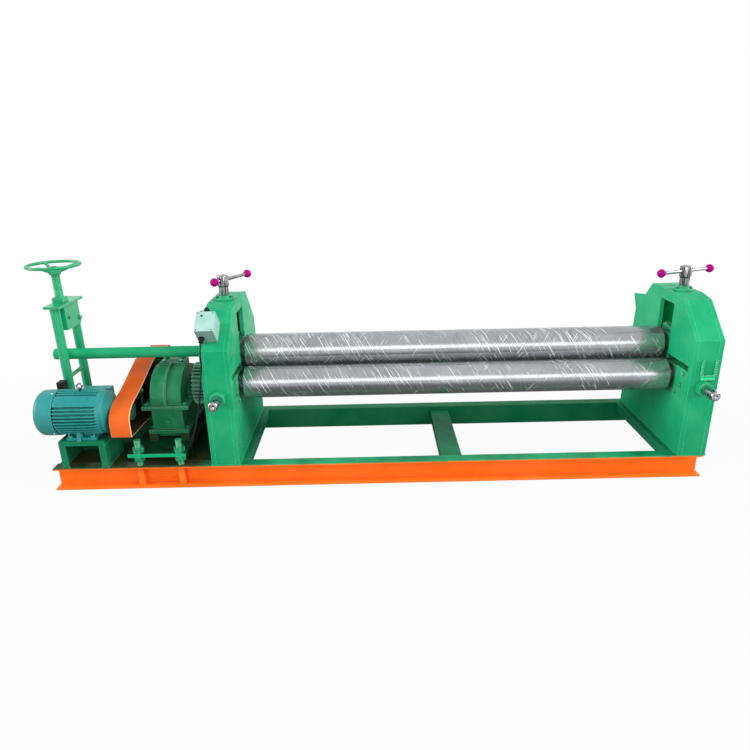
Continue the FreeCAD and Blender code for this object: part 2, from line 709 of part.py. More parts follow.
def roll_body(diameter, y, z, journals):
    """A roll with chamfered ends and its stepped journals, given as (x, radius) pairs."""
    radius = diameter / 2
    profile = [(-HALF_ROLL, 0), (-HALF_ROLL, radius - ROLL_CHAMFER)]
    profile += [(-HALF_ROLL + ROLL_CHAMFER, radius), (HALF_ROLL - ROLL_CHAMFER, radius)]
    profile += [(HALF_ROLL, radius - ROLL_CHAMFER), (HALF_ROLL, 0)]
    barrel = turned_x(profile, y, z)
    steps = [rod_x((inner, outer), y, z, step / 2) for inner, outer, step in journals]
    return joined([barrel] + steps)


def driven_roll(y):
    """A lower roll whose left journal runs on to its gear."""
    journals = (
        (HALF_ROLL, BLOCK_FAR, JOURNAL_DIAMETER),
        (-HALF_ROLL, GEAR_RIGHT, JOURNAL_DIAMETER),
        (GEAR_RIGHT, GEAR_LEFT, GEAR_SEAT_DIAMETER),
    )
    return [roll_body(LOW_ROLL_DIAMETER, y, LOW_AXIS_Z, journals)]


def top_roll():
    journals = ((HALF_ROLL, BLOCK_FAR, JOURNAL_DIAMETER), (-HALF_ROLL, -OUTER_X, JOURNAL_DIAMETER))
    return [roll_body(TOP_ROLL_DIAMETER, ROLL_Y, TOP_AXIS_Z, journals)]


def top_roll_tail():
    """The round bar that runs on from the top roll's left journal to the hold-down frame."""
    radius = TAIL_DIAMETER / 2
    profile = [(TAIL_END_X, 0), (TAIL_END_X, radius - ROLL_CHAMFER), (TAIL_END_X + ROLL_CHAMFER, radius)]
    profile += [(-OUTER_X, radius), (-OUTER_X, 0)]
    return [turned_x(profile, ROLL_Y, TOP_AXIS_Z)]


def top_bearing_blocks():
    blocks = []
    for side in (-1, 1):
        half = TOP_BLOCK_WIDTH / 2
        height = (TOP_AXIS_Z - TOP_BLOCK_DROP, TOP_BLOCK_TOP)
        block = box(block_ends(side), (ROLL_Y - half, ROLL_Y + half), height)
        bore = rod_x(block_ends(side), ROLL_Y, TOP_AXIS_Z, JOURNAL_BORE)
        blocks.append(block.cut(bore))
    return blocks


def thrust_plates():
    """Plates on the top blocks that hold the press screws' feet."""
    plates = []
    for side in (-1, 1):
        x = side * SCREW_X
        across = (x - THRUST_PLATE_WIDTH / 2, x + THRUST_PLATE_WIDTH / 2)
        depth = (ROLL_Y - THRUST_PLATE_DEPTH / 2, ROLL_Y + THRUST_PLATE_DEPTH / 2)
        top = TOP_BLOCK_TOP + THRUST_PLATE_HEIGHT
        plate = box(across, depth, (TOP_BLOCK_TOP, top))
        pocket_roof = TOP_BLOCK_TOP + SCREW_FOOT_HEIGHT + 2 * SLIDE_GAP
        pocket = rod_z((TOP_BLOCK_TOP, pocket_roof), x, ROLL_Y, SCREW_FOOT_DIAMETER / 2 + SLIDE_GAP)
        hole = rod_z((pocket_roof, top), x, ROLL_Y, PRESS_SCREW_DIAMETER / 2 + SLIDE_GAP)
        plate = plate.cut([pocket, hole])
        heads = []
        for depth_side in (-1, 1):
            for cross_side in (-1, 1):
                place = (
                    x + cross_side * (THRUST_PLATE_WIDTH / 2 - BOLT_FLATS / 2 - 2),
                    ROLL_Y + depth_side * (THRUST_PLATE_DEPTH / 2 - BOLT_FLATS),
                    top,
                )
                heads.append(bolt_head(place, (0, 0, 1)))
        plates += [plate] + heads
    return plates


# Press screws, bars and balls

def bar_direction(angle):
    return Vector(math.cos(math.radians(angle)), math.sin(math.radians(angle)), 0)


def bar_ends(side, shift):
    """The centres of the two balls of one side's bar."""
    angle, span = (LEFT_BAR_ANGLE, LEFT_BAR_SPAN) if side < 0 else (RIGHT_BAR_ANGLE, RIGHT_BAR_SPAN)
    middle = Vector(side * SCREW_X, ROLL_Y, BAR_Z) + bar_direction(angle) * shift
    reach = bar_direction(angle) * (span / 2)
    return middle - reach, middle + reach


def press_screw(side):
    x = side * SCREW_X
    foot_z = TOP_BLOCK_TOP + SLIDE_GAP
    foot = rod_z((foot_z, foot_z + SCREW_FOOT_HEIGHT), x, ROLL_Y, SCREW_FOOT_DIAMETER / 2)
    stem = rod_z((foot_z, SCREW_HEAD_Z), x, ROLL_Y, PRESS_SCREW_DIAMETER / 2)
    head = rod_z((SCREW_HEAD_Z, SCREW_HEAD_Z + SCREW_HEAD_HEIGHT), x, ROLL_Y, SCREW_HEAD_DIAMETER / 2)
    start, end = bar_ends(side, 0)
    hole = rod(tuple(start), tuple(end), BAR_DIAMETER / 2 + RUN_FIT)
    return [joined([foot, stem, head]).cut(hole)]


def sliding_bar(side, shift):
    start, end = bar_ends(side, shift)
    trim = (end - start).normalize() * (BALL_DIAMETER / 4 + SEAT_GAP)
    return [rod(tuple(start + trim), tuple(end - trim), BAR_DIAMETER / 2)]


def ball_knobs(side, shift):
    """Balls bored for the bar's ends."""
    start, end = bar_ends(side, shift)
    inward = (end - start).normalize() * (BALL_DIAMETER / 4)
    balls = []
    for place, seat in ((start, inward), (end, inward * -1)):
        bore = rod(tuple(place + seat), tuple(place + seat * 4), BAR_DIAMETER / 2 + SEAT_GAP)
        balls.append(Part.makeSphere(BALL_DIAMETER / 2, place, seat).cut(bore))
    return balls


def front_screw(side):
    """A plain-ended screw that bears on the sliding front block, with tommy bar holes."""
    x = side * SCREW_X
    block_y = FRONT_ROLL_Y - LOW_BLOCK_WIDTH / 2
    tip_y = BASE_FRONT - FRONT_SCREW_REACH
    radius = FRONT_SCREW_DIAMETER / 2
    stem = rod_y((tip_y, block_y), x, LOW_AXIS_Z, radius)
    hole_y = BASE_FRONT - TOMMY_HOLE_REACH
    across = rod_x((x - radius, x + radius), hole_y, LOW_AXIS_Z, TOMMY_HOLE_DIAMETER / 2)
    down = rod_z((LOW_AXIS_Z - radius, LOW_AXIS_Z + radius), x, hole_y, TOMMY_HOLE_DIAMETER / 2)
    return [stem.cut([across, down])]


# Reducer

CASE_SHAFTS = (
    (ROLL_Y, DOME_RADIUS, OUTPUT_SHAFT_DIAMETER),
    (MIDDLE_SHAFT_Y, MIDDLE_DOME_RADIUS, MIDDLE_SHAFT_DIAMETER),
    (INPUT_SHAFT_Y, REAR_DOME_RADIUS, INPUT_SHAFT_DIAMETER),
)
CASE_FRONT = ROLL_Y - DOME_RADIUS
CASE_REAR = INPUT_SHAFT_Y + REAR_DOME_RADIUS


def dome(shrink, half_width):
    """Three round backs joined by their common tangents, cut off at the split line."""
    ends = (REDUCER_X - half_width, REDUCER_X + half_width)
    pieces = []
    for y, radius, _ in CASE_SHAFTS:
        pieces.append(rod_x(ends, y, SHAFT_Z, radius - shrink))
    for (y0, r0, _), (y1, r1, _) in zip(CASE_SHAFTS, CASE_SHAFTS[1:]):
        lean = math.acos((r0 - r1) / (y1 - y0))
        normal = (math.cos(lean), math.sin(lean))
        outline = [(y0, SHAFT_Z), (y1, SHAFT_Z)]
        for y, radius in ((y1, r1 - shrink), (y0, r0 - shrink)):
            outline.append((y + radius * normal[0], SHAFT_Z + radius * normal[1]))
        pieces.append(prism_x(outline, ends))
    whole = joined(pieces)
    return whole.common(half_space(True))


def shaft_bosses():
    reach = CASE_FLANGE_HALF_WIDTH
    ends = (REDUCER_X - reach, REDUCER_X + reach)
    return [rod_x(ends, y, SHAFT_Z, shaft / 2 + BOSS_WALL) for y, _, shaft in CASE_SHAFTS]


def shaft_bores():
    reach = CASE_FLANGE_HALF_WIDTH
    ends = (REDUCER_X - reach, REDUCER_X + reach)
    return [rod_x(ends, y, SHAFT_Z, shaft / 2 + RUN_FIT) for y, _, shaft in CASE_SHAFTS]


def case_flange(z_ends):
    across = (REDUCER_X - CASE_FLANGE_HALF_WIDTH, REDUCER_X + CASE_FLANGE_HALF_WIDTH)
    return box(across, (CASE_FRONT - CASE_FLANGE_LIP, CASE_REAR + CASE_FLANGE_LIP), z_ends)


def half_space(above):
    height = 4 * DOME_RADIUS
    z_ends = (SHAFT_Z, SHAFT_Z + height) if above else (SHAFT_Z - height, SHAFT_Z)
    wide = 2 * CASE_FLANGE_HALF_WIDTH
    return box((REDUCER_X - wide, REDUCER_X + wide), (CASE_FRONT - wide, CASE_REAR + wide), z_ends)


def reducer_upper_case():
    flange = case_flange((SHAFT_Z, SHAFT_Z + LID_FLANGE_HEIGHT))
    across = (REDUCER_X - COVER_PAD_HALF_WIDTH, REDUCER_X + COVER_PAD_HALF_WIDTH)
    pad_depth = (ROLL_Y, ROLL_Y + COVER_PAD_LENGTH)
    pad = box(across, pad_depth, (SHAFT_Z + DOME_RADIUS / 2, COVER_PAD_TOP_Z))
    rib_ends = (REDUCER_X - DOME_RIB_WIDTH / 2, REDUCER_X + DOME_RIB_WIDTH / 2)
    rib = rod_x(rib_ends, ROLL_Y, SHAFT_Z, DOME_RADIUS + DOME_RIB_HEIGHT)
    rib = rib.common(box(rib_ends, (CASE_FRONT - DOME_RIB_HEIGHT, ROLL_Y), (SHAFT_Z, COVER_PAD_TOP_Z)))
    upper_bosses = [boss.common(half_space(True)) for boss in shaft_bosses()]
    outside = joined([dome(0, CASE_HALF_WIDTH), flange, pad, rib] + upper_bosses)
    return [outside.cut([dome(CASE_WALL, CASE_HALF_WIDTH - CASE_WALL)] + shaft_bores())]


def across(half_width):
    """The two X ends of something centred on the reducer."""
    return (REDUCER_X - half_width, REDUCER_X + half_width)


FOOT_DEPTH = (CASE_FRONT - FOOT_LIP, CASE_REAR + FOOT_LIP)


def reducer_lower_case():
    """A box below the split line, with a foot all round it and a narrower sump under it."""
    body = box(across(CASE_HALF_WIDTH), (CASE_FRONT, CASE_REAR), (FOOT_BOTTOM_Z, SHAFT_Z))
    foot = box(across(FOOT_HALF_WIDTH), FOOT_DEPTH, (FOOT_BOTTOM_Z, FOOT_TOP_Z))
    sump_depth = (CASE_FRONT + CASE_WALL, CASE_REAR - CASE_WALL)
    sump = box(across(SUMP_HALF_WIDTH), sump_depth, (SUMP_BOTTOM_Z, FOOT_BOTTOM_Z))
    flange = case_flange((SHAFT_Z - CASE_FLANGE_HEIGHT, SHAFT_Z))
    lower_bosses = [boss.common(half_space(False)) for boss in shaft_bosses()]
    outside = joined([body, foot, sump, flange] + lower_bosses)
    depth = (CASE_FRONT + CASE_WALL, CASE_REAR - CASE_WALL)
    room = box(across(CASE_HALF_WIDTH - CASE_WALL), depth, (FOOT_BOTTOM_Z + CASE_WALL, SHAFT_Z))
    well_depth = (depth[0] + CASE_WALL, depth[1] - CASE_WALL)
    well = box(across(SUMP_HALF_WIDTH - CASE_WALL), well_depth, (SUMP_BOTTOM_Z + CASE_WALL, SHAFT_Z))
    return [outside.cut([room, well] + shaft_bores())]


def reducer_rails():
    """Two bars that carry the reducer's feet above the support plate."""
    rails = []
    for side in (-1, 1):
        ends = (REDUCER_X + side * (SUMP_HALF_WIDTH + SLIDE_GAP), REDUCER_X + side * FOOT_HALF_WIDTH)
        rails.append(box(ends, FOOT_DEPTH, (SUPPORT_TOP_Z, FOOT_BOTTOM_Z)))
    return rails


def output_shaft():
    """The slow shaft with its gear inside the case and the drive pinion outside."""
    reach = CASE_FLANGE_HALF_WIDTH
    neck_x = REDUCER_X + reach + BOSS_WALL
    stem = rod_x((REDUCER_X - reach, neck_x), ROLL_Y, SHAFT_Z, OUTPUT_SHAFT_DIAMETER / 2)
    nose = rod_x((neck_x, GEAR_RIGHT), ROLL_Y, SHAFT_Z, PINION_BORE / 2)
    slow_ends = (REDUCER_X, REDUCER_X + SLOW_GEAR_WIDTH)
    wheel = gear(
        SLOW_GEAR_TEETH, SLOW_MODULE, slow_ends, ROLL_Y, SHAFT_Z, 0.0, OUTPUT_SHAFT_DIAMETER + 2 * SEAT_GAP
    )
    pinion = gear(
        PINION_TEETH, ROLL_GEAR_MODULE, (GEAR_LEFT, GEAR_RIGHT), ROLL_Y, SHAFT_Z, PINION_PHASE,
        PINION_BORE + 2 * SEAT_GAP
    )
    return [joined([stem, nose]), wheel, pinion]


def intermediate_shaft():
    """The middle shaft, cut as a pinion for the slow gear, with the fast gear on it."""
    reach = CASE_FLANGE_HALF_WIDTH
    slow_ends = (REDUCER_X, REDUCER_X + SLOW_GEAR_WIDTH)
    fast_ends = (REDUCER_X - FAST_GEAR_WIDTH - CASE_WALL, REDUCER_X - CASE_WALL)
    teeth = gear(
        SLOW_PINION_TEETH, SLOW_MODULE, slow_ends, MIDDLE_SHAFT_Y, SHAFT_Z, SLOW_PINION_PHASE,
        MIDDLE_SHAFT_DIAMETER / 2
    )
    stem = rod_x((REDUCER_X - reach, REDUCER_X + reach), MIDDLE_SHAFT_Y, SHAFT_Z, MIDDLE_SHAFT_DIAMETER / 2)
    wheel = gear(
        FAST_GEAR_TEETH, FAST_MODULE, fast_ends, MIDDLE_SHAFT_Y, SHAFT_Z, 0.0,
        MIDDLE_SHAFT_DIAMETER + 2 * SEAT_GAP
    )
    return [joined([stem, teeth]), wheel]


def input_shaft():
    """The fast pinion shaft, whose left end carries the driven pulley."""
    reach = CASE_FLANGE_HALF_WIDTH
    fast_ends = (REDUCER_X - FAST_GEAR_WIDTH - CASE_WALL, REDUCER_X - CASE_WALL)
    teeth = gear(
        FAST_PINION_TEETH, FAST_MODULE, fast_ends, INPUT_SHAFT_Y, SHAFT_Z, FAST_PINION_PHASE,
        INPUT_SHAFT_DIAMETER / 2
    )
    stem = rod_x((PULLEY_LEFT, REDUCER_X + reach), INPUT_SHAFT_Y, SHAFT_Z, INPUT_SHAFT_DIAMETER / 2)
    return [joined([stem, teeth])]


# Support plate on studs

STUD_PLACES = [
    (x, y)
    for x in (STUD_LEFT_X, STUD_RIGHT_X)
    for y in (BASE_FRONT + STUD_DEPTH, BASE_REAR - STUD_DEPTH)
]


def support_plate():
    depth = (BASE_FRONT + HOUSING_FRONT, BASE_REAR - HOUSING_FRONT)
    plate = box((SUPPORT_LEFT, SUPPORT_RIGHT), depth, (SUPPORT_BOTTOM_Z, SUPPORT_TOP_Z))
    height = (SUPPORT_BOTTOM_Z, SUPPORT_TOP_Z)
    return [plate.cut([rod_z(height, x, y, STUD_DIAMETER / 2 + SEAT_GAP) for x, y in STUD_PLACES])]


def support_studs():
    height = (BEAM_HEIGHT - BEAM_WALL, STUD_TOP_Z)
    return [rod_z(height, x, y, STUD_DIAMETER / 2) for x, y in STUD_PLACES]


def support_nuts():
    """Adjusting nuts above and below the plate on each stud."""
    nuts = []
    for x, y in STUD_PLACES:
        for bottom in (SUPPORT_BOTTOM_Z - STUD_NUT_HEIGHT, SUPPORT_TOP_Z):
            top = bottom + STUD_NUT_HEIGHT
            blank = hexagon((x, y, bottom), (x, y, top), STUD_NUT_FLATS)
            nuts.append(blank.cut(rod_z((bottom, top), x, y, STUD_DIAMETER / 2 + SEAT_GAP)))
    return nuts


# Motor

STAND_BACK = BASE_FRONT + STAND_FRONT + STAND_DEPTH


def motor_stand():
    """A low table of two channel legs and a top plate, open to the front."""
    right = STAND_LEFT + STAND_WIDTH
    depth = (BASE_FRONT + STAND_FRONT, STAND_BACK)
    leg_height = (BEAM_HEIGHT, STAND_TOP_Z - STAND_TOP_WALL)
    pieces = [box((STAND_LEFT, right), depth, (STAND_TOP_Z - STAND_TOP_WALL, STAND_TOP_Z))]
    for edge, inward in ((STAND_LEFT, 1), (right, -1)):
        web = (edge, edge + inward * STAND_WALL)
        flange = (edge, edge + inward * STAND_LEG_FLANGE)
        pieces.append(box(web, depth, leg_height))
        pieces.append(box(flange, (depth[0], depth[0] + STAND_WALL), leg_height))
        pieces.append(box(flange, (depth[1] - STAND_WALL, depth[1]), leg_height))
    return [joined(pieces)]


def fin_outline():
    """The finned section: a round core with straight fins all round it."""
    core = MOTOR_RADIUS - FIN_HEIGHT
    core_half = math.asin(FIN_THICKNESS / 2 / core)
    tip_half = math.asin(FIN_THICKNESS / 2 / MOTOR_RADIUS)
    points = []
    for number in range(FIN_COUNT):
        centre = 2 * math.pi * number / FIN_COUNT
        for radius, angle in (
            (core, centre - core_half),
            (MOTOR_RADIUS, centre - tip_half),
            (MOTOR_RADIUS, centre + tip_half),
            (core, centre + core_half),
        ):
            points.append((MOTOR_Y + radius * math.cos(angle), MOTOR_Z + radius * math.sin(angle)))
    return points


FOOT_MIDDLE_X = (MOTOR_BODY_LEFT + MOTOR_BODY_RIGHT) / 2
FOOT_ENDS = (FOOT_MIDDLE_X - FOOT_LENGTH / 2, FOOT_MIDDLE_X + FOOT_LENGTH / 2)


def motor_body():
    ends = (MOTOR_BODY_LEFT, MOTOR_BODY_RIGHT)
    frame = prism_x(fin_outline(), ends)
    foot = box(FOOT_ENDS, (MOTOR_Y - FOOT_SPAN / 2, MOTOR_Y + FOOT_SPAN / 2),
               (STAND_TOP_Z, STAND_TOP_Z + FOOT_THICKNESS))
    neck_half = FOOT_SPAN / 2 - 2 * FOOT_THICKNESS
    neck = box(FOOT_ENDS, (MOTOR_Y - neck_half, MOTOR_Y + neck_half),
               (STAND_TOP_Z, MOTOR_Z - MOTOR_RADIUS / 2))
    whole = joined([frame, foot, neck])
    return [whole.cut(rod_x(ends, MOTOR_Y, MOTOR_Z, STATOR_BORE / 2))]


def motor_end_shield():
    """The drive-end shield, a cone down to its nose with the shaft's hole."""
    face = MOTOR_BODY_RIGHT
    nose = face + END_SHIELD_LENGTH
    hole = MOTOR_SHAFT_DIAMETER / 2 + RUN_FIT
    flange = MOTOR_RADIUS - FIN_HEIGHT / 2
    profile = [
        (face, hole), (face, flange), (face + END_SHIELD_LENGTH / 3, flange),
        (nose, END_SHIELD_NOSE_RADIUS), (nose, hole),
    ]
    return [turned_x(profile, MOTOR_Y, MOTOR_Z)]


def motor_fan_cover():
    """The cowl over the fan, a thin cup with a rounded rim and an air inlet."""
    radius = MOTOR_RADIUS
    inside = radius - FAN_COVER_WALL
    bevel = FAN_COVER_LENGTH / 6
    back = MOTOR_LEFT + FAN_COVER_WALL
    inlet = MOTOR_SHAFT_DIAMETER
    profile = [
        (MOTOR_LEFT, inlet), (MOTOR_LEFT, radius - bevel), (MOTOR_LEFT + bevel, radius),
        (MOTOR_BODY_LEFT, radius), (MOTOR_BODY_LEFT, inside), (MOTOR_LEFT + bevel, inside),
        (back, inside - bevel), (back, inlet),
    ]
    return [turned_x(profile, MOTOR_Y, MOTOR_Z)]


def motor_rotor():
    """Rotor core and shaft, with the cooling fan on the shaft's rear end."""
    core = rod_x((MOTOR_BODY_LEFT + CORE_INSET, MOTOR_BODY_RIGHT - CORE_INSET), MOTOR_Y, MOTOR_Z,
                 STATOR_BORE / 2 - AIR_GAP)
    fan_face = MOTOR_LEFT + FAN_COVER_LENGTH / 3
    stem = rod_x((fan_face, PULLEY_RIGHT), MOTOR_Y, MOTOR_Z, MOTOR_SHAFT_DIAMETER / 2)
    fan_ends = (fan_face, fan_face + FAN_COVER_LENGTH / 3)
    hub = rod_x(fan_ends, MOTOR_Y, MOTOR_Z, MOTOR_SHAFT_DIAMETER)
    blade_reach = MOTOR_RADIUS - FIN_HEIGHT
    blades = [hub]
    for number in range(FAN_BLADES):
        blade = box(fan_ends, (MOTOR_Y - FIN_THICKNESS / 2, MOTOR_Y + FIN_THICKNESS / 2),
                    (MOTOR_Z, MOTOR_Z + blade_reach))
        blade.rotate(Vector(0, MOTOR_Y, MOTOR_Z), Vector(1, 0, 0), 360 * number / FAN_BLADES)
        blades.append(blade)
    fan = joined(blades).cut(rod_x(fan_ends, MOTOR_Y, MOTOR_Z, MOTOR_SHAFT_DIAMETER / 2 + SEAT_GAP))
    return [joined([core, stem]), fan]


def saddle_box(size, left, top, shift):
    """A box with its underside shaped to the motor's back."""
    length, width, height = size
    front = MOTOR_Y + shift
    ends = (left, left + length)
    block = box(ends, (front, front + width), (top - height, top))
    return block.cut(rod_x(ends, MOTOR_Y, MOTOR_Z, MOTOR_RADIUS + SLIDE_GAP))


def motor_terminal_box():
    return [saddle_box(TERMINAL_BOX_SIZE, TERMINAL_BOX_LEFT, TERMINAL_BOX_TOP_Z, TERMINAL_BOX_SHIFT)]


def motor_plug():
    """The dark plug housing on the fan cover's back."""
    return saddle_box(PLUG_SIZE, PLUG_LEFT, PLUG_TOP_Z, PLUG_SHIFT)


# Belt drive

def pulley(y, z, diameter, bore):
    """A pulley with V grooves along X."""
    radius = diameter / 2
    profile = [(PULLEY_LEFT, bore / 2), (PULLEY_LEFT, radius)]
    first = PULLEY_MIDDLE - GROOVE_PITCH * (GROOVE_COUNT - 1) / 2
    for number in range(GROOVE_COUNT):
        middle = first + number * GROOVE_PITCH
        profile += [
            (middle - GROOVE_TOP_WIDTH / 2, radius),
            (middle - GROOVE_FLOOR_WIDTH / 2, radius - GROOVE_DEPTH),
            (middle + GROOVE_FLOOR_WIDTH / 2, radius - GROOVE_DEPTH),
            (middle + GROOVE_TOP_WIDTH / 2, radius),
        ]
    profile += [(PULLEY_RIGHT, radius), (PULLEY_RIGHT, bore / 2)]
    return turned_x(profile, y, z)


def motor_pulley():
    return [pulley(MOTOR_Y, MOTOR_Z, MOTOR_PULLEY_DIAMETER, MOTOR_SHAFT_DIAMETER + 2 * SEAT_GAP)]


def driven_pulley():
    return [pulley(INPUT_SHAFT_Y, SHAFT_Z, DRIVEN_PULLEY_DIAMETER, INPUT_SHAFT_DIAMETER + 2 * SEAT_GAP)]


def stadium(first, first_radius, second, second_radius, x_ends):
    """The solid that a tight band round two circles encloses."""
    gap_y = second[0] - first[0]
    gap_z = second[1] - first[1]
    span = math.hypot(gap_y, gap_z)
    heading = math.atan2(gap_z, gap_y)
    lean = math.acos((first_radius - second_radius) / span)
    corners = []
    for (y, z), radius, signs in ((first, first_radius, (-1, 1)), (second, second_radius, (1, -1))):
        for sign in signs:
            angle = heading + sign * lean
            corners.append((y + radius * math.cos(angle), z + radius * math.sin(angle)))
    ends = [rod_x(x_ends, place[0], place[1], radius)
            for place, radius in ((first, first_radius), (second, second_radius))]
    return joined([prism_x(corners, x_ends)] + ends)


def v_belts():
    """Belts with straight sides that lie in the grooves, a hair clear of the pulleys."""
    belts = []
    first = PULLEY_MIDDLE - GROOVE_PITCH * (GROOVE_COUNT - 1) / 2
    small = MOTOR_PULLEY_DIAMETER / 2 - GROOVE_DEPTH + 2
    large = DRIVEN_PULLEY_DIAMETER / 2 - GROOVE_DEPTH + 2
    motor = (MOTOR_Y, MOTOR_Z)
    driven = (INPUT_SHAFT_Y, SHAFT_Z)
    half = GROOVE_FLOOR_WIDTH / 2 + 0.1
    for number in range(GROOVE_COUNT):
        middle = first + number * GROOVE_PITCH
        ends = (middle - half, middle + half)
        outside = stadium(motor, small + BELT_HEIGHT, driven, large + BELT_HEIGHT, ends)
        belts.append(outside.cut(stadium(motor, small, driven, large, ends)))
    return belts


def guard_outline(shrink):
    """The guard's side outline, moved inwards."""
    outline = [(BASE_FRONT + depth, z) for depth, z in GUARD_CORNERS]
    return inset(outline, shrink)


def guard_stays():
    """Flat bars inside the guard's mouth, each on a spacer from the reducer's flange."""
    bottom = SHAFT_Z - CASE_FLANGE_HEIGHT
    spacer_ends = (GUARD_RIGHT, REDUCER_X - CASE_FLANGE_HALF_WIDTH)
    bar_ends = (GUARD_RIGHT - STAY_THICKNESS, GUARD_RIGHT)
    room = prism_x(guard_outline(GUARD_WALL), bar_ends)
    stays = []
    for depth in STAY_DEPTHS:
        width = (BASE_FRONT + depth - STAY_WIDTH / 2, BASE_FRONT + depth + STAY_WIDTH / 2)
        spacer = box(spacer_ends, width, (bottom, SHAFT_Z))
        bar = box(bar_ends, width, (bottom, HOUSING_TOP)).common(room)
        stays.append(joined([spacer, bar]))
    return stays


def belt_guard():
    """A sheet tray, open towards the reducer."""
    shell = prism_x(guard_outline(0), (GUARD_LEFT, GUARD_RIGHT))
    room = prism_x(guard_outline(GUARD_WALL), (GUARD_LEFT + GUARD_WALL, GUARD_RIGHT))
    motor_hole = rod_x((GUARD_LEFT, GUARD_LEFT + GUARD_WALL), MOTOR_Y, MOTOR_Z, MOTOR_SHAFT_DIAMETER)
    return [shell.cut([room, motor_hole])]


# Tail hold-down frame

POST_PLACES = (TAIL_Y - FRONT_POST_OFFSET, TAIL_Y + REAR_POST_OFFSET)
NUT_BLOCK_ENDS = (TAIL_FRAME_X - NUT_BLOCK_WIDTH / 2, TAIL_FRAME_X + NUT_BLOCK_WIDTH / 2)


def tail_posts():
    posts = [rod_z((BEAM_HEIGHT, POST_TOP_Z), TAIL_FRAME_X, y, POST_DIAMETER / 2) for y in POST_PLACES]
    posts[1] = posts[1].cut(clamp_bolt_hole())
    return posts


def tail_top_plate():
    across = (TAIL_FRAME_X - TOP_PLATE_WIDTH / 2, TAIL_FRAME_X + TOP_PLATE_WIDTH / 2)
    depth = (TAIL_Y - TOP_PLATE_FRONT, TAIL_Y + TOP_PLATE_REAR)
    height = (POST_TOP_Z, POST_TOP_Z + TOP_PLATE_THICKNESS)
    plate = box(across, depth, height)
    boss_across = (TAIL_FRAME_X - NUT_BOSS_WIDTH / 2, TAIL_FRAME_X + NUT_BOSS_WIDTH / 2)
    boss_depth = (TAIL_Y - NUT_BOSS_LENGTH / 2, TAIL_Y + NUT_BOSS_LENGTH / 2)
    return [plate.cut(box(boss_across, boss_depth, height))]


def post_space():
    """The room that the posts take up, for pieces shaped to them."""
    height = (BEAM_HEIGHT, POST_TOP_Z)
    return [rod_z(height, TAIL_FRAME_X, y, POST_DIAMETER / 2 + SEAT_GAP) for y in POST_PLACES]


def tail_screw_nut():
    """The threaded block round the rear post, with its boss through the top plate."""
    depth = (TAIL_Y - NUT_BLOCK_FRONT, POST_PLACES[1] + NUT_BLOCK_WRAP)
    block = box(NUT_BLOCK_ENDS, depth, (NUT_BLOCK_BOTTOM_Z, POST_TOP_Z)).cut(post_space())
    boss_across = (TAIL_FRAME_X - NUT_BOSS_WIDTH / 2, TAIL_FRAME_X + NUT_BOSS_WIDTH / 2)
    boss_depth = (TAIL_Y - NUT_BOSS_LENGTH / 2, TAIL_Y + NUT_BOSS_LENGTH / 2)
    boss = box(boss_across, boss_depth, (POST_TOP_Z, NUT_BOSS_TOP_Z))
    height = (NUT_BLOCK_BOTTOM_Z, NUT_BOSS_TOP_Z)
    thread = rod_z(height, TAIL_FRAME_X, TAIL_Y, TAIL_SCREW_DIAMETER / 2 + RUN_FIT)
    return [joined([block, boss]).cut([thread, clamp_bolt_hole()])]


def clamp_bolt_hole():
    return rod_x(NUT_BLOCK_ENDS, POST_PLACES[1], CLAMP_BOLT_Z, CLAMP_BOLT_DIAMETER / 2 + SEAT_GAP)


def tail_cross_bars():
    """The tie bar between the posts, and the bolt that clamps the rear post to the nut block."""
    bar = rod_y(POST_PLACES, TAIL_FRAME_X, TIE_BAR_Z, TIE_BAR_DIAMETER / 2).cut(post_space())
    shank = rod_x(NUT_BLOCK_ENDS, POST_PLACES[1], CLAMP_BOLT_Z, CLAMP_BOLT_DIAMETER / 2)
    heads = [bolt_head((end, POST_PLACES[1], CLAMP_BOLT_Z), (way, 0, 0))
             for end, way in zip(NUT_BLOCK_ENDS, (-1, 1))]
    return [bar, joined([shank] + heads)]


def tail_foot():
    """The pad at the hold-down screw's lower end, which doesn't turn with it."""
    height = (NUT_BLOCK_BOTTOM_Z + 1, NUT_BLOCK_BOTTOM_Z + 1 + TAIL_FOOT_HEIGHT)
    return [rod_z(height, TAIL_FRAME_X, TAIL_Y, TAIL_SCREW_DIAMETER / 2)]


def tail_screw():
    bottom = NUT_BLOCK_BOTTOM_Z + 1 + TAIL_FOOT_HEIGHT + SLIDE_GAP
    stem = rod_z((bottom, HUB_BOTTOM_Z), TAIL_FRAME_X, TAIL_Y, TAIL_SCREW_DIAMETER / 2)
    tang = rod_z((HUB_BOTTOM_Z, HUB_BOTTOM_Z + HUB_HEIGHT), TAIL_FRAME_X, TAIL_Y, HUB_BORE / 2)
    return [joined([stem, tang])]


def handwheel():
    """A dished wheel: rim above the hub, joined by sloping spokes."""
    centre = Vector(TAIL_FRAME_X, TAIL_Y, WHEEL_Z)
    rim = Part.makeTorus(WHEEL_RADIUS, WHEEL_RIM_DIAMETER / 2, centre, Vector(0, 0, 1))
    hub = rod_z((HUB_BOTTOM_Z, HUB_BOTTOM_Z + HUB_HEIGHT), TAIL_FRAME_X, TAIL_Y, HUB_DIAMETER / 2)
    pieces = [rim, hub]
    for number in range(SPOKE_COUNT):
        angle = math.radians(SPOKE_ANGLE + 360 * number / SPOKE_COUNT)
        way = Vector(math.cos(angle), math.sin(angle), 0)
        start = Vector(TAIL_FRAME_X, TAIL_Y, HUB_BOTTOM_Z + HUB_HEIGHT / 2) + way * (HUB_BORE / 2 + 4)
        end = centre + way * WHEEL_RADIUS
        pieces.append(rod(tuple(start), tuple(end), SPOKE_DIAMETER / 2))
    bore = rod_z((HUB_BOTTOM_Z, HUB_BOTTOM_Z + HUB_HEIGHT), TAIL_FRAME_X, TAIL_Y, HUB_BORE / 2 + SEAT_GAP)
    return [joined(pieces).cut(bore)]


# Control box on the left housing's slope

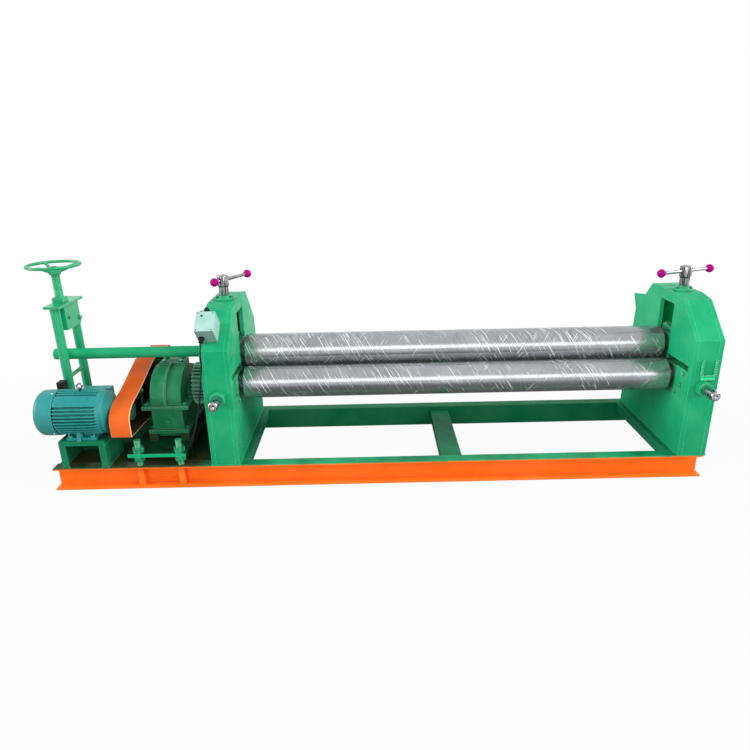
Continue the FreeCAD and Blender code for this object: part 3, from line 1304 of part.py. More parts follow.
SLOPE_LENGTH = math.hypot(SLOPE_HEAD[0] - SLOPE_FOOT[0], SLOPE_HEAD[1] - SLOPE_FOOT[1])
CLIMB = ((SLOPE_HEAD[0] - SLOPE_FOOT[0]) / SLOPE_LENGTH, (SLOPE_HEAD[1] - SLOPE_FOOT[1]) / SLOPE_LENGTH)


def on_slope(climb, stand):
    """The (y, z) point that far up the sloping face and that far off it."""
    y = SLOPE_FOOT[0] + climb * CLIMB[0] - stand * CLIMB[1]
    z = SLOPE_FOOT[1] + climb * CLIMB[1] + stand * CLIMB[0]
    return y, z


def slope_block(climbs, stands, x_ends):
    outline = [
        on_slope(climbs[0], stands[0]), on_slope(climbs[1], stands[0]),
        on_slope(climbs[1], stands[1]), on_slope(climbs[0], stands[1]),
    ]
    return prism_x(outline, x_ends)


BOX_ENDS = (-OUTER_X, -OUTER_X + BOX_WIDTH)
GLAND_X = -OUTER_X + GLAND_INSET


def control_box():
    """An open steel box; its cover closes it."""
    shell = slope_block((BOX_CLIMB, BOX_CLIMB + BOX_LENGTH), (0, BOX_DEPTH), BOX_ENDS)
    room = slope_block(
        (BOX_CLIMB + BOX_WALL, BOX_CLIMB + BOX_LENGTH - BOX_WALL), (BOX_WALL, BOX_DEPTH),
        (BOX_ENDS[0] + BOX_WALL, BOX_ENDS[1] - BOX_WALL)
    )
    return [shell.cut(room)]


def control_box_cover():
    climbs = (BOX_CLIMB, BOX_CLIMB + BOX_LENGTH)
    return [slope_block(climbs, (BOX_DEPTH, BOX_DEPTH + BOX_COVER), BOX_ENDS)]


def gland_points():
    mouth = on_slope(BOX_CLIMB, GLAND_STAND)
    end = on_slope(BOX_CLIMB - GLAND_LENGTH, GLAND_STAND)
    return Vector(GLAND_X, *mouth), Vector(GLAND_X, *end)


def cable_glands():
    """The box's gland, the grommet where the cable enters the deck, and the motor's plug."""
    mouth, end = gland_points()
    middle = (mouth + end) * 0.5
    nut = hexagon(tuple(mouth), tuple(middle), GLAND_DIAMETER)
    cap = rod(tuple(middle), tuple(end), GLAND_DIAMETER / 2 - 2)
    x, y = GROMMET_PLACE
    washer = rod_z((BEAM_HEIGHT, BEAM_HEIGHT + GROMMET_HEIGHT), x, y, GLAND_DIAMETER / 2)
    return [joined([nut, cap]), washer, motor_plug()]


def cable_route():
    _, start = gland_points()
    lead = Vector(0, -CLIMB[0], -CLIMB[1]) * (6.5 * CABLE_DIAMETER)
    x, y = GROMMET_PLACE
    top = BEAM_HEIGHT + GROMMET_HEIGHT
    middle = [Vector(*place) for place in CABLE_MIDDLE]
    return [start, start + lead] + middle + [Vector(x, y, top + 3 * CABLE_DIAMETER), Vector(x, y, top)]


def control_cable():
    """A tube along straight runs joined by tangent arcs."""
    route = cable_route()
    edges = []
    here = route[0]
    radii = []
    for before, corner, after in zip(route, route[1:], route[2:]):
        back = before - corner
        ahead = after - corner
        turn = math.pi - back.getAngle(ahead)
        trim = 0.45 * min(back.Length, ahead.Length)
        radii.append(trim / math.tan(turn / 2))
        enter = corner + back.normalize() * trim
        leave = corner + ahead.normalize() * trim
        bisector = (enter + leave) * 0.5 - corner
        centre_gap = math.hypot(radii[-1], trim)
        nearest = corner + bisector.normalize() * (centre_gap - radii[-1])
        edges.append(Part.makeLine(here, enter))
        edges.append(Part.Arc(enter, nearest, leave).toShape())
        here = leave
    edges.append(Part.makeLine(here, route[-1]))
    path = Part.Wire(edges)
    section = Part.Wire([Part.makeCircle(CABLE_DIAMETER / 2, route[0], route[1] - route[0])])
    tube = path.makePipeShell([section], True, False)
    print("cable bend radii", [round(radius) for radius in radii])
    ideal = math.pi * (CABLE_DIAMETER / 2) ** 2 * path.Length
    print("cable length", round(path.Length), "volume ratio", round(tube.Volume / ideal, 4))
    return [tube]


def eye_bolts():
    """The motor's lifting eye and the eye on the left housing's outer side."""
    x = MOTOR_EYE_X
    stem_z = MOTOR_Z + MOTOR_RADIUS
    ring_z = stem_z + EYE_RADIUS + 2 * EYE_WIRE
    motor_eye = Part.makeTorus(EYE_RADIUS, EYE_WIRE, Vector(x, MOTOR_Y, ring_z), Vector(0, 1, 0))
    motor_stem = rod_z((stem_z - FIN_HEIGHT, ring_z - EYE_RADIUS), x, MOTOR_Y, EYE_WIRE + 1)
    motor_part = joined([motor_eye, motor_stem])
    motor_part = motor_part.cut(prism_x(fin_outline(), (MOTOR_BODY_LEFT, MOTOR_BODY_RIGHT)))
    y, z = BASE_FRONT + CREST_DEPTH + EYE_RADIUS * 2, CREST_Z - EYE_RADIUS * 2
    side_eye = Part.makeTorus(EYE_RADIUS, EYE_WIRE, Vector(-OUTER_X - EYE_RADIUS - EYE_WIRE, y, z),
                              Vector(0, 1, 0))
    side_stem = rod_x((-OUTER_X - 2 * EYE_WIRE, -OUTER_X), y, z, EYE_WIRE + 1)
    return [motor_part, joined([side_eye, side_stem])]


# Bolts that share one size

def hex_bolts():
    heads = []
    for side in (-1, 1):
        for depth, height in KEEPER_BOLTS:
            heads.append(bolt_head((side * INNER_X, BASE_FRONT + depth, height), (-side, 0, 0)))
        for reach in (-NUT_BOLT_RADIUS, NUT_BOLT_RADIUS):
            place = (side * SCREW_X + reach, ROLL_Y, HOUSING_TOP + NUT_FLANGE_HEIGHT)
            heads.append(bolt_head(place, (0, 0, 1), SMALL_BOLT_FLATS))
    lip_middle = (CASE_HALF_WIDTH + CASE_FLANGE_HALF_WIDTH) / 2
    flange_top = SHAFT_Z + LID_FLANGE_HEIGHT
    rows = int((CASE_REAR - CASE_FRONT) // FLANGE_BOLT_SPACING) + 1
    for number in range(rows):
        y = CASE_FRONT + FLANGE_BOLT_SPACING * number
        if min(abs(y - shaft_y) for shaft_y, _, _ in CASE_SHAFTS) < BOLT_FLATS + OUTPUT_SHAFT_DIAMETER / 2:
            continue
        for side in (-1, 1):
            heads.append(bolt_head((REDUCER_X + side * lip_middle, y, flange_top), (0, 0, 1)))
    for x_side in (-1, 1):
        for y in (ROLL_Y + BOLT_FLATS, ROLL_Y + COVER_PAD_LENGTH - BOLT_FLATS):
            place = (REDUCER_X + x_side * (COVER_PAD_HALF_WIDTH - BOLT_FLATS), y, COVER_PAD_TOP_Z)
            heads.append(bolt_head(place, (0, 0, 1)))
    heads.append(bolt_head((REDUCER_X, CASE_FRONT, DRAIN_PLUG_Z), (0, -1, 0)))
    for x_side in (-1, 1):
        for y in (CASE_FRONT + BOLT_FLATS, CASE_REAR - BOLT_FLATS):
            place = (REDUCER_X + x_side * (FOOT_HALF_WIDTH - BOLT_DIAMETER), y, FOOT_TOP_Z)
            heads.append(bolt_head(place, (0, 0, 1), SMALL_BOLT_FLATS))
    screw = (GUARD_RIGHT, BASE_FRONT + STAY_DEPTHS[0], GUARD_SCREW_Z)
    heads.append(bolt_head(screw, (1, 0, 0), SMALL_BOLT_FLATS))
    foot_top = STAND_TOP_Z + FOOT_THICKNESS
    for x in (FOOT_ENDS[0] + BOLT_FLATS, FOOT_ENDS[1] - BOLT_FLATS):
        for y_side in (-1, 1):
            y = MOTOR_Y + y_side * (FOOT_SPAN / 2 - BOLT_FLATS / 2 - 2)
            heads.append(bolt_head((x, y, foot_top), (0, 0, 1)))
    lock = (NUT_BLOCK_ENDS[1], TAIL_Y + NUT_LOCK_BOLT[0], NUT_LOCK_BOLT[1])
    heads.append(bolt_head(lock, (1, 0, 0), SMALL_BOLT_FLATS))
    return heads


NODES = {
    "front_beam": front_beam,
    "rear_beam": rear_beam,
    "cross_members": cross_members,
    "deck_plate": deck_plate,
    "web_stiffeners": web_stiffeners,
    "left_side_plates": lambda: side_plates(-1),
    "right_side_plates": lambda: side_plates(1) + [rear_lug(), front_ledge()],
    "housing_bands": housing_bands,
    "rear_bearing_blocks": rear_bearing_blocks,
    "front_bearing_blocks": front_bearing_blocks,
    "keeper_plates": keeper_plates,
    "hex_bolts": hex_bolts,
    "screw_nuts": screw_nuts,
    "reducer_lower_case": reducer_lower_case,
    "reducer_upper_case": reducer_upper_case,
    "drive_brackets": lambda: reducer_rails() + guard_stays(),
    "support_plate": support_plate,
    "support_studs": support_studs,
    "support_nuts": support_nuts,
    "motor_stand": motor_stand,
    "motor_body": motor_body,
    "motor_end_shield": motor_end_shield,
    "motor_fan_cover": motor_fan_cover,
    "motor_terminal_box": motor_terminal_box,
    "eye_bolts": eye_bolts,
    "belt_guard": belt_guard,
    "v_belts": v_belts,
    "tail_posts": tail_posts,
    "tail_top_plate": tail_top_plate,
    "tail_screw_nut": tail_screw_nut,
    "tail_cross_bars": tail_cross_bars,
    "control_box": control_box,
    "control_box_cover": control_box_cover,
    "cable_glands": cable_glands,
    "control_cable": control_cable,
    "top_roll": top_roll,
    "top_roll_tail": top_roll_tail,
    "top_bearing_blocks": top_bearing_blocks,
    "thrust_plates": thrust_plates,
    "left_press_screw": lambda: press_screw(-1),
    "right_press_screw": lambda: press_screw(1),
    "left_t_bar": lambda: sliding_bar(-1, LEFT_BAR_SHIFT),
    "right_t_bar": lambda: sliding_bar(1, 0),
    "left_ball_knobs": lambda: ball_knobs(-1, LEFT_BAR_SHIFT),
    "right_ball_knobs": lambda: ball_knobs(1, 0),
    "front_lower_roll": lambda: driven_roll(FRONT_ROLL_Y),
    "rear_lower_roll": lambda: driven_roll(REAR_ROLL_Y),
    "front_roll_gear": lambda: [gear(
        ROLL_GEAR_TEETH, ROLL_GEAR_MODULE, (GEAR_LEFT, GEAR_RIGHT), FRONT_ROLL_Y, LOW_AXIS_Z,
        roll_gear_phase(FRONT_AXIS, FRONT_GEAR_LEAN), GEAR_SEAT_DIAMETER + 2 * SEAT_GAP)],
    "rear_roll_gear": lambda: [gear(
        ROLL_GEAR_TEETH, ROLL_GEAR_MODULE, (GEAR_LEFT, GEAR_RIGHT), REAR_ROLL_Y, LOW_AXIS_Z,
        roll_gear_phase(REAR_AXIS), GEAR_SEAT_DIAMETER + 2 * SEAT_GAP)],
    "left_front_screw": lambda: front_screw(-1),
    "right_front_screw": lambda: front_screw(1),
    "output_shaft": output_shaft,
    "intermediate_shaft": intermediate_shaft,
    "input_shaft": input_shaft,
    "driven_pulley": driven_pulley,
    "motor_rotor": motor_rotor,
    "motor_pulley": motor_pulley,
    "tail_foot": tail_foot,
    "tail_screw": tail_screw,
    "handwheel": handwheel,
}


def main():
    os.makedirs("parts", exist_ok=True)
    for name, make in NODES.items():
        solids = make()
        shape = solids[0] if len(solids) == 1 else Part.makeCompound(solids)
        shape.exportStep("parts/" + name + ".step")


main()
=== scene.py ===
import json
import math

import bmesh
import bpy
import numpy as np
from mathutils import Matrix, Vector


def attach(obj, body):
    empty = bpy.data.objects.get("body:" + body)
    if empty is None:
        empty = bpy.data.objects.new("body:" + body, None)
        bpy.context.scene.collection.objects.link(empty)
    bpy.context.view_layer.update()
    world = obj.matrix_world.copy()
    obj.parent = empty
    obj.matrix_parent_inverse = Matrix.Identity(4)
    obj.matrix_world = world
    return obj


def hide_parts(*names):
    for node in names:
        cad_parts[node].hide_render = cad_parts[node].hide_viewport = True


bl_info = {
    "name": "Plate rolling machine",
    "version": (1, 0, 0),
    "blender": (4, 5, 0),
    "location": "3D View > Sidebar > Plate roller",
    "description": "Dresses the packed plate rolling machine with its finished pieces and surfaces",
    "category": "Object",
}

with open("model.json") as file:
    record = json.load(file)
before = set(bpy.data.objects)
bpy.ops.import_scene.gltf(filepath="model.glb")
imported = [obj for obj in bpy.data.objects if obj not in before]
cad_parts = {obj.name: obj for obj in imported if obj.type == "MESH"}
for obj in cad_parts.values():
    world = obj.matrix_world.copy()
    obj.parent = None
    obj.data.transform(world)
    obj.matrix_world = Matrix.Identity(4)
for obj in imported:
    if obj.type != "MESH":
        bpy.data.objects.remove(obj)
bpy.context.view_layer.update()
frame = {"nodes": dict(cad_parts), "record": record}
NODES = frame["nodes"]

# Places on the machine, in metres
ROLL_END = 1.010
ROLL_Y = 0.282
FRONT_ROLL_Y = 0.178
REAR_ROLL_Y = 0.386
LOW_Z = 0.452
TOP_Z = 0.580
JOURNAL = 0.040
OUTER_X = 1.160
SCREW_X = 1.095
TAIL_X = -1.876
BASE_FRONT = -0.029
DECK_Z = 0.112
GUARD_LEFT, GUARD_LIP, GUARD_MOUTH = -1.607, -1.5155, -1.511
MOTOR_Y = 0.067
MOTOR_Z = 0.361
MOTOR_LEFT, MOTOR_RIGHT = -1.857, -1.643
MOTOR_AXIS = (0, MOTOR_Y, MOTOR_Z)
ALONG, UP = (1, 0, 0), (0, 0, 1)
FRAME = "machine_frame"


# The sizes and colours that a user would change

def length_setting(name, description, default, low, high):
    """A length in metres that the panel shows."""
    return bpy.props.FloatProperty(
        name=name, description=description, default=default, min=low, max=high, unit="LENGTH")


def colour_setting(name, description, *default):
    """A colour that the panel shows."""
    return bpy.props.FloatVectorProperty(
        name=name, description=description, subtype="COLOR", size=3, default=default, min=0, max=1)


class MachineSizes(bpy.types.PropertyGroup):
    fin_count: bpy.props.IntProperty(
        name="Motor fins", description="Cooling fins round the motor's body", default=40, min=12, max=72)
    bead_width: length_setting("Weld bead width", "Width of a weld bead across its seam", 0.009, 0.002, 0.03)
    wheel_rim: length_setting("Handwheel rim", "Thickness of the handwheel's rim", 0.016, 0.005, 0.04)
    ball_diameter: length_setting("Ball knobs", "Diameter of the balls on the bars", 0.040, 0.02, 0.06)
    stud_pitch: length_setting(
        "Stud thread pitch", "Distance between the turns of a stud's thread", 0.0035, 0.001, 0.01)


class MachineColours(bpy.types.PropertyGroup):
    green: colour_setting("Green enamel", "The machine's main paint", 0.008, 0.380, 0.160)
    deep_green: colour_setting("Cast parts", "Paint on the cast parts of the drive", 0.005, 0.235, 0.088)
    orange: colour_setting("Orange enamel", "Paint of the front beam and the belt guard", 1.0, 0.185, 0.010)
    teal: colour_setting("Motor paint", "The motor's satin paint", 0.006, 0.255, 0.245)
    mint: colour_setting("Box paint", "The control box's pale coating", 0.33, 0.56, 0.51)
    knob: colour_setting("Ball knobs", "The polished balls on the sliding bars", 0.40, 0.001, 0.20)
    steel: colour_setting("Roll steel", "Ground steel of the rolls", 0.39, 0.41, 0.425)


# Surfaces worked out as whole arrays

def quads(rows, columns, wrap_rows=False, wrap_columns=False):
    """Faces of a grid: each joins point (i, j) with (i+1, j), (i+1, j+1) and (i, j+1), counted round where it
    wraps."""
    i = np.arange(rows if wrap_rows else rows - 1)[:, None]
    j = np.arange(columns if wrap_columns else columns - 1)[None, :]
    i2, j2 = (i + 1) % rows, (j + 1) % columns
    i, i2 = i * columns, i2 * columns
    return np.stack([i + j, i2 + j, i2 + j2, i + j2], -1).reshape(-1, 4)


def once_round(count):
    """Angles in even steps from 0 to just before a whole turn."""
    return np.linspace(0, 2 * math.pi, count, endpoint=False)


def axes_across(axis):
    """Two unit vectors square to the axis and to each other."""
    axis = np.asarray(axis, float) / np.linalg.norm(axis)
    helper = np.array([0.0, 0.0, 1.0]) if abs(axis[2]) < 0.9 else np.array([0.0, 1.0, 0.0])
    u = np.cross(helper, axis)
    u /= np.linalg.norm(u)
    return axis, u, np.cross(axis, u)


def turned(profile, start, axis, segments):
    """A profile (a, r) carried round an axis: start + a·axis + r·(cos t·u + sin t·v)."""
    profile = np.asarray(profile, float)
    axis, u, v = axes_across(axis)
    t = once_round(segments)
    across = np.cos(t)[:, None] * u + np.sin(t)[:, None] * v
    points = np.asarray(start) + profile[:, :1, None] * axis + profile[:, 1:, None] * across
    return points.reshape(-1, 3), quads(len(profile), segments, wrap_columns=True)


def softened(corners, radius, steps):
    """A profile whose inner corners are rounded: at each, a parabola from a on one leg to b on the other,
    (1-t)²·a + 2t(1-t)·corner + t²·b."""
    corners = np.asarray(corners, float)
    here = corners[1:-1]

    def on_leg(other):
        length = np.linalg.norm(other - here, axis=1)[:, None]
        return here + (other - here) / length * np.minimum(radius, 0.45 * length)

    a, b = on_leg(corners[:-2]), on_leg(corners[2:])
    t = np.linspace(0, 1, steps)[None, :, None]
    arcs = (1 - t) ** 2 * a[:, None] + 2 * t * (1 - t) * here[:, None] + t ** 2 * b[:, None]
    return np.vstack([corners[:1], arcs.reshape(-1, 2), corners[-1:]])


def rod(low, high, radius):
    """The profile of a plain rod from one place on its axis to another."""
    return [(low, 0), (low, radius), (high, radius), (high, 0)]


def threaded(start, axis, length, radius, depth, pitch, segments):
    """A screw surface with flat ends: r(a, t) = radius - depth·(1 + cos(2π·a/pitch - t))/2."""
    axis, u, v = axes_across(axis)
    a = np.linspace(0, length, int(8 * length / pitch) + 1)[:, None]
    t = once_round(segments)[None, :]
    r = radius - depth * (1 + np.cos(2 * math.pi * a / pitch - t)) / 2
    a = np.vstack([a[:1], a, a[-1:]])
    r = np.vstack([0 * r[:1], r, 0 * r[:1]])
    across = np.cos(t)[..., None] * u + np.sin(t)[..., None] * v
    points = np.asarray(start) + a[..., None] * axis + r[..., None] * across
    return points.reshape(-1, 3), quads(len(a), segments, wrap_columns=True)


def ring(centre, axis, radius, wide, high, around, across):
    """A ring of oval section: centre + (radius + wide·cos p)·(cos t·u + sin t·v) + high·sin p·axis."""
    axis, u, v = axes_across(axis)
    t = once_round(around)[:, None, None]
    p = once_round(across)[None, :, None]
    points = np.asarray(centre) + (radius + wide * np.cos(p)) * (np.cos(t) * u + np.sin(t) * v)
    points = points + high * np.sin(p) * axis
    return points.reshape(-1, 3), quads(around, across, True, True)


def tube(path, radii, side, around):
    """A round section carried along a path, closed at its ends: path + r·(cos t·side + sin t·other), with
    other = tangent × side."""
    path = np.asarray(path, float)
    radii = np.broadcast_to(np.asarray(radii, float), len(path))
    tangent = np.gradient(path, axis=0)
    tangent /= np.linalg.norm(tangent, axis=1)[:, None]
    side = np.asarray(side, float)
    side = side - (tangent @ side)[:, None] * tangent
    side /= np.linalg.norm(side, axis=1)[:, None]
    other = np.cross(tangent, side)
    path, side, other = (np.vstack([rows[:1], rows, rows[-1:]]) for rows in (path, side, other))
    radii = np.concatenate([[0], radii, [0]])
    t = once_round(around)[None, :, None]
    points = path[:, None] + radii[:, None, None] * (np.cos(t) * side[:, None] + np.sin(t) * other[:, None])
    return points.reshape(-1, 3), quads(len(path), around, wrap_columns=True)


def weld_bead(start, end, width, seed):
    """A round bead along a seam: radius w·(1 + 0.16·sin(2π·s/step)) with a slow wander from summed sines."""
    start, end = np.asarray(start, float), np.asarray(end, float)
    length = np.linalg.norm(end - start)
    s = np.linspace(0, length, max(12, int(length / 0.0025)))
    wander = np.sin(s * 71 + seed) * 0.5 + np.sin(s * 173 + 2 * seed) * 0.3 + np.sin(s * 37 + 3 * seed) * 0.4
    radius = width / 2 * (1 + 0.16 * np.sin(2 * math.pi * s / 0.011 + seed) + 0.10 * wander)
    axis, u, v = axes_across(end - start)
    path = start + s[:, None] * axis + (0.08 * width * wander)[:, None] * (u + v)
    return tube(path, radius, u, around=10)


def slab(outline, x_ends):
    """A flat outline (y, z) carried from one X to another, with flat ends."""
    outline = np.asarray(outline, float)
    count = len(outline)
    points = np.concatenate([np.insert(outline, 0, x, axis=1) for x in x_ends])
    sides = quads(2, count, wrap_columns=True).tolist()
    return points, sides + [list(range(count)), list(range(2 * count - 1, count - 1, -1))]


def joined(*surfaces):
    """Several surfaces as one: each one's faces count on from the points before it."""
    points, faces, count = [], [], 0
    for surface_points, surface_faces in surfaces:
        points.append(np.asarray(surface_points))
        if isinstance(surface_faces, np.ndarray):
            faces.extend((surface_faces + count).tolist())
        else:
            faces.extend([[corner + count for corner in face] for face in surface_faces])
        count += len(surface_points)
    return np.concatenate(points), faces


def linked(name, data):
    """An object that shows some data, in the scene."""
    made = bpy.data.objects.new(name, data)
    bpy.context.scene.collection.objects.link(made)
    return made


def closed_mesh(name, surface):
    """A mesh of a surface, its points merged where they meet and its faces turned outwards."""
    points, faces = surface
    mesh = bpy.data.meshes.new(name)
    faces = faces.tolist() if isinstance(faces, np.ndarray) else faces
    mesh.from_pydata(np.asarray(points).tolist(), [], faces)
    work = bmesh.new()
    work.from_mesh(mesh)
    bmesh.ops.remove_doubles(work, verts=work.verts, dist=1e-6)
    bmesh.ops.recalc_face_normals(work, faces=work.faces)
    work.to_mesh(mesh)
    work.free()
    return mesh


def piece(name, surface, body, material, stands_for=(), edge=0.0, sharp=40):
    """Makes one finished object of a surface, riding on its body and standing for some nodes."""
    mesh = closed_mesh(name, surface)
    mesh.shade_smooth()
    mesh.set_sharp_from_angle(angle=math.radians(sharp))
    made = linked(name, mesh)
    mesh.materials.append(material)
    if edge:
        bevel = made.modifiers.new("Broken edges", "BEVEL")
        bevel.width = edge
        bevel.segments = 3
        bevel.limit_method = "ANGLE"
        bevel.angle_limit = math.radians(30)
        bevel.harden_normals = True
    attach(made, body)
    if stands_for:
        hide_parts(*stands_for)
    return made


# Finishes, each a network on Object coordinates

class Network:
    """A tree of shader nodes, with short ways to add the ones that are used most."""

    def __init__(self, tree):
        self.tree = tree

    def feed(self, socket, value):
        """Gives a socket what another one puts out, or a plain value."""
        if isinstance(value, bpy.types.NodeSocket):
            self.tree.links.new(value, socket)
        else:
            socket.default_value = value

    def node(self, kind, inputs=(), **settings):
        """A new node with its settings made and its inputs fed."""
        made = self.tree.nodes.new(kind)
        for key, value in settings.items():
            setattr(made, key, value)
        for key, value in dict(inputs).items():
            self.feed(made.inputs[key], value)
        return made

    def sum(self, operation, a, b=0.0, c=0.0):
        """What a sum of up to three values comes to."""
        return self.node("ShaderNodeMath", {0: a, 1: b, 2: c}, operation=operation).outputs[0]

    def step(self, value, low, high, to_low=0.0, to_high=1.0):
        """A smooth step from one value to another as the input goes from low to high."""
        return self.node("ShaderNodeMapRange", {
            "Value": value, "From Min": low, "From Max": high, "To Min": to_low, "To Max": to_high,
        }, interpolation_type="SMOOTHSTEP").outputs["Result"]


class Finish(Network):
    """A material being built: its shader, and the patterns that feed it."""

    def __init__(self, name, **sockets):
        self.material = bpy.data.materials.new(name)
        self.material.use_nodes = True
        super().__init__(self.material.node_tree)
        self.shader = self.tree.nodes["Principled BSDF"]
        for socket, value in sockets.items():
            self.shader.inputs[socket.replace("_", " ")].default_value = value
        self.place = self.node("ShaderNodeTexCoord").outputs["Object"]

    def stretched(self, scale, turn=(0, 0, 0), source=None):
        """The place, or another vector, turned and scaled for a pattern."""
        return self.node("ShaderNodeMapping", {
            "Vector": source or self.place, "Rotation": turn, "Scale": scale}).outputs["Vector"]

    def noise(self, scale, detail=4.0, rough=0.55, source=None):
        """A cloudy pattern from about 0.3 to 0.7."""
        return self.node("ShaderNodeTexNoise", {
            "Vector": source or self.place, "Scale": scale, "Detail": detail, "Roughness": rough,
        }).outputs["Fac"]

    def along(self, axis, source=None):
        """One coordinate of the place, or of another vector."""
        return self.node("ShaderNodeSeparateXYZ", {"Vector": source or self.place}).outputs[axis]

    def facing(self, axis):
        """One coordinate of the way that the surface faces."""
        return self.along(axis, self.node("ShaderNodeNewGeometry").outputs["Normal"])

    def blend(self, factor, a, b):
        """One colour or socket drawn towards another by a factor."""
        a, b = (colour if isinstance(colour, bpy.types.NodeSocket) else (*colour, 1) for colour in (a, b))
        return self.node("ShaderNodeMix", {0: factor, 6: a, 7: b}, data_type="RGBA").outputs[2]

    def spotted(self, base, pattern, low, high, share, colour):
        """The base with a share of another colour where the pattern goes from low to high."""
        return self.blend(self.step(pattern, low, high, 0.0, share), base, colour)

    def rounded(self, radius):
        """The normals of the surface as if its edges were rounded."""
        return self.node("ShaderNodeBevel", {"Radius": radius}, samples=6).outputs[0]

    def worn_and_highlit(self, base, radius, share, edge_colour, patches=1.0):
        """The base with a share of a pale colour on edges, where rounded normals leave the true ones, partly
        as rubbed paint and partly as painted highlight, and those normals."""
        rounded = self.rounded(radius)
        flat = self.node("ShaderNodeNewGeometry").outputs["Normal"]
        likeness = self.node("ShaderNodeVectorMath", {0: rounded, 1: flat}, operation="DOT_PRODUCT")
        edges = self.step(likeness.outputs["Value"], 0.995, 0.86, 0.0, share)
        return self.blend(self.sum("MULTIPLY", edges, patches), base, edge_colour), rounded

    def shaded_in_corners(self, base, reach, closed, open_, share, shade_colour):
        """The base with a share of a darker colour in corners, by how little is open within reach: painted
        shade.
        """
        openness = self.node("ShaderNodeAmbientOcclusion", {"Distance": reach}, samples=8).outputs["AO"]
        return self.blend(self.step(openness, closed, open_, share, 0.0), base, shade_colour)

    def surface(self, colour, roughness, bump, strength, depth, normal=None):
        """Feeds the shader with a colour, a roughness and a bumped normal."""
        bumped = self.node("ShaderNodeBump", {"Strength": strength, "Distance": depth, "Height": bump})
        if normal is not None:
            self.feed(bumped.inputs["Normal"], normal)
        feeds = {"Base Color": colour, "Roughness": roughness, "Normal": bumped.outputs[0]}
        for socket, value in feeds.items():
            self.feed(self.shader.inputs[socket], value)
        return self.material


def lighter(colour, amount):
    """A colour drawn towards white by a share."""
    return tuple(c + (1 - c) * amount for c in colour)


def darker(colour, amount):
    """A colour drawn towards black by a share."""
    return tuple(c * (1 - amount) for c in colour)


def brighter(colour, gain, lift):
    """The same hue where it catches more light: gain·colour + lift, up to 1."""
    return tuple(min(1.0, gain * c + lift) for c in colour)


def enamel(name, colour, gloss=0.32, wear_and_highlight=0.8, corner_shade=0.25, texture=1.0, edge_radius=0.004, inside=None,
           shine=0.06, rim=None, painted_light_span=None, lip=None):
    """Brushed-on machine enamel: uneven in tone, pale on rubbed edges, partly as rubbed paint and partly as
    painted highlight, and darker in corners and towards the bottom as painted shade. Faces with the "inside"
    attribute take a given dark colour as painted shade, faces whose |X| lies in the given span are painted
    brighter as painted light, and a sheet's edge from X = "lip" on has the colour "rim", a painted highlight."""
    finish = Finish(name, Roughness=gloss, Specular_IOR_Level=shine)
    clouds = finish.step(finish.noise(5.5, 5, 0.6), 0.33, 0.68)
    base = finish.blend(clouds, darker(colour, 0.13), lighter(colour, 0.02))
    runs = finish.noise(9.0, 3, 0.5, finish.stretched((3.2, 3.2, 0.5)))
    base = finish.spotted(base, runs, 0.60, 0.78, 0.14, darker(colour, 0.38))
    # Darker towards the bottom: painted shade.
    base = finish.spotted(base, finish.along("Z"), 0.48, 0.10, 0.24, darker(colour, 0.75))
    # Darker in corners: painted shade.
    base = finish.shaded_in_corners(base, 0.05, 0.10, 0.80, corner_shade, darker(colour, 0.80))
    patches = finish.step(finish.noise(38.0, 3), 0.38, 0.62, 0.35, 1.0)
    # Pale on rubbed edges: partly rubbed paint, partly painted highlight.
    base, rounded = finish.worn_and_highlit(base, edge_radius, wear_and_highlight, rim or brighter(colour, 1.9, 0.07), patches)
    # The sheet's edge from the lip on takes the rim colour: painted highlight.
    if lip is not None:
        base = finish.spotted(base, finish.along("X"), lip, lip + 0.001, 0.85, rim)
    # Brighter where |X| lies in the span of the housings' dark cavity: painted light.
    if painted_light_span is not None:
        off = finish.sum("SUBTRACT", finish.sum("ABSOLUTE", finish.along("X")), sum(painted_light_span) / 2)
        in_painted_light_span = finish.sum("LESS_THAN", finish.sum("ABSOLUTE", off), (painted_light_span[1] - painted_light_span[0]) / 2)
        base = finish.blend(in_painted_light_span, base, brighter(colour, 2.1, 0.02))
    # Faces with the inside attribute take a dark colour: painted shade inside the guard.
    if inside is not None:
        shaded_inside = finish.node("ShaderNodeAttribute", attribute_name="inside").outputs["Fac"]
        base = finish.blend(shaded_inside, base, inside)
    rough = finish.step(finish.noise(24.0, 4), 0.3, 0.7, gloss - 0.07, gloss + 0.14)
    skin = finish.sum("MULTIPLY_ADD", finish.noise(9.0, 2), 2.0, finish.noise(70.0 * texture, 4))
    return finish.surface(base, rough, skin, 0.18, 0.0010, rounded)


def oily_shaded_enamel(name, colour, front=None):
    """Enamel under an old oily film and painted shade: nearly black, brown in patches, with pale streaks
    dragged along X. Its front faces have a colour of their own, or else it is brown along the machine's
    front."""
    finish = Finish(name, Roughness=0.5, Specular_IOR_Level=0.0)
    clouds = finish.noise(7.0, 5, 0.65)
    # Nearly black: partly an oily film, partly painted shade.
    base = finish.blend(finish.step(clouds, 0.35, 0.68), (0.008, 0.032, 0.014), darker(colour, 0.78))
    rust = finish.noise(11.0, 4, 0.6)
    base = finish.spotted(base, rust, 0.54, 0.68, 0.6, (0.040, 0.030, 0.010))
    streaks = finish.noise(10.0, 4, 0.6, finish.stretched((0.5, 3.2, 3.2)))
    base = finish.spotted(base, streaks, 0.60, 0.72, 0.4, (0.04, 0.16, 0.08))
    if front is None:
        near = finish.sum("MULTIPLY", finish.step(finish.along("Y"), 0.22, 0.05),
                          finish.step(rust, 0.30, 0.55, 0.3, 0.8))
        base = finish.blend(near, base, (0.075, 0.052, 0.016))
    else:
        base = finish.spotted(base, finish.facing("Y"), -0.4, -0.8, 1.0, front)
    # Pale on rubbed edges: partly rubbed paint, partly painted highlight.
    base, rounded = finish.worn_and_highlit(base, 0.003, 0.5, (0.15, 0.24, 0.14))
    rough = finish.step(clouds, 0.35, 0.65, 0.40, 0.60)
    return finish.surface(base, rough, finish.noise(60.0, 4), 0.3, 0.0014, rounded)


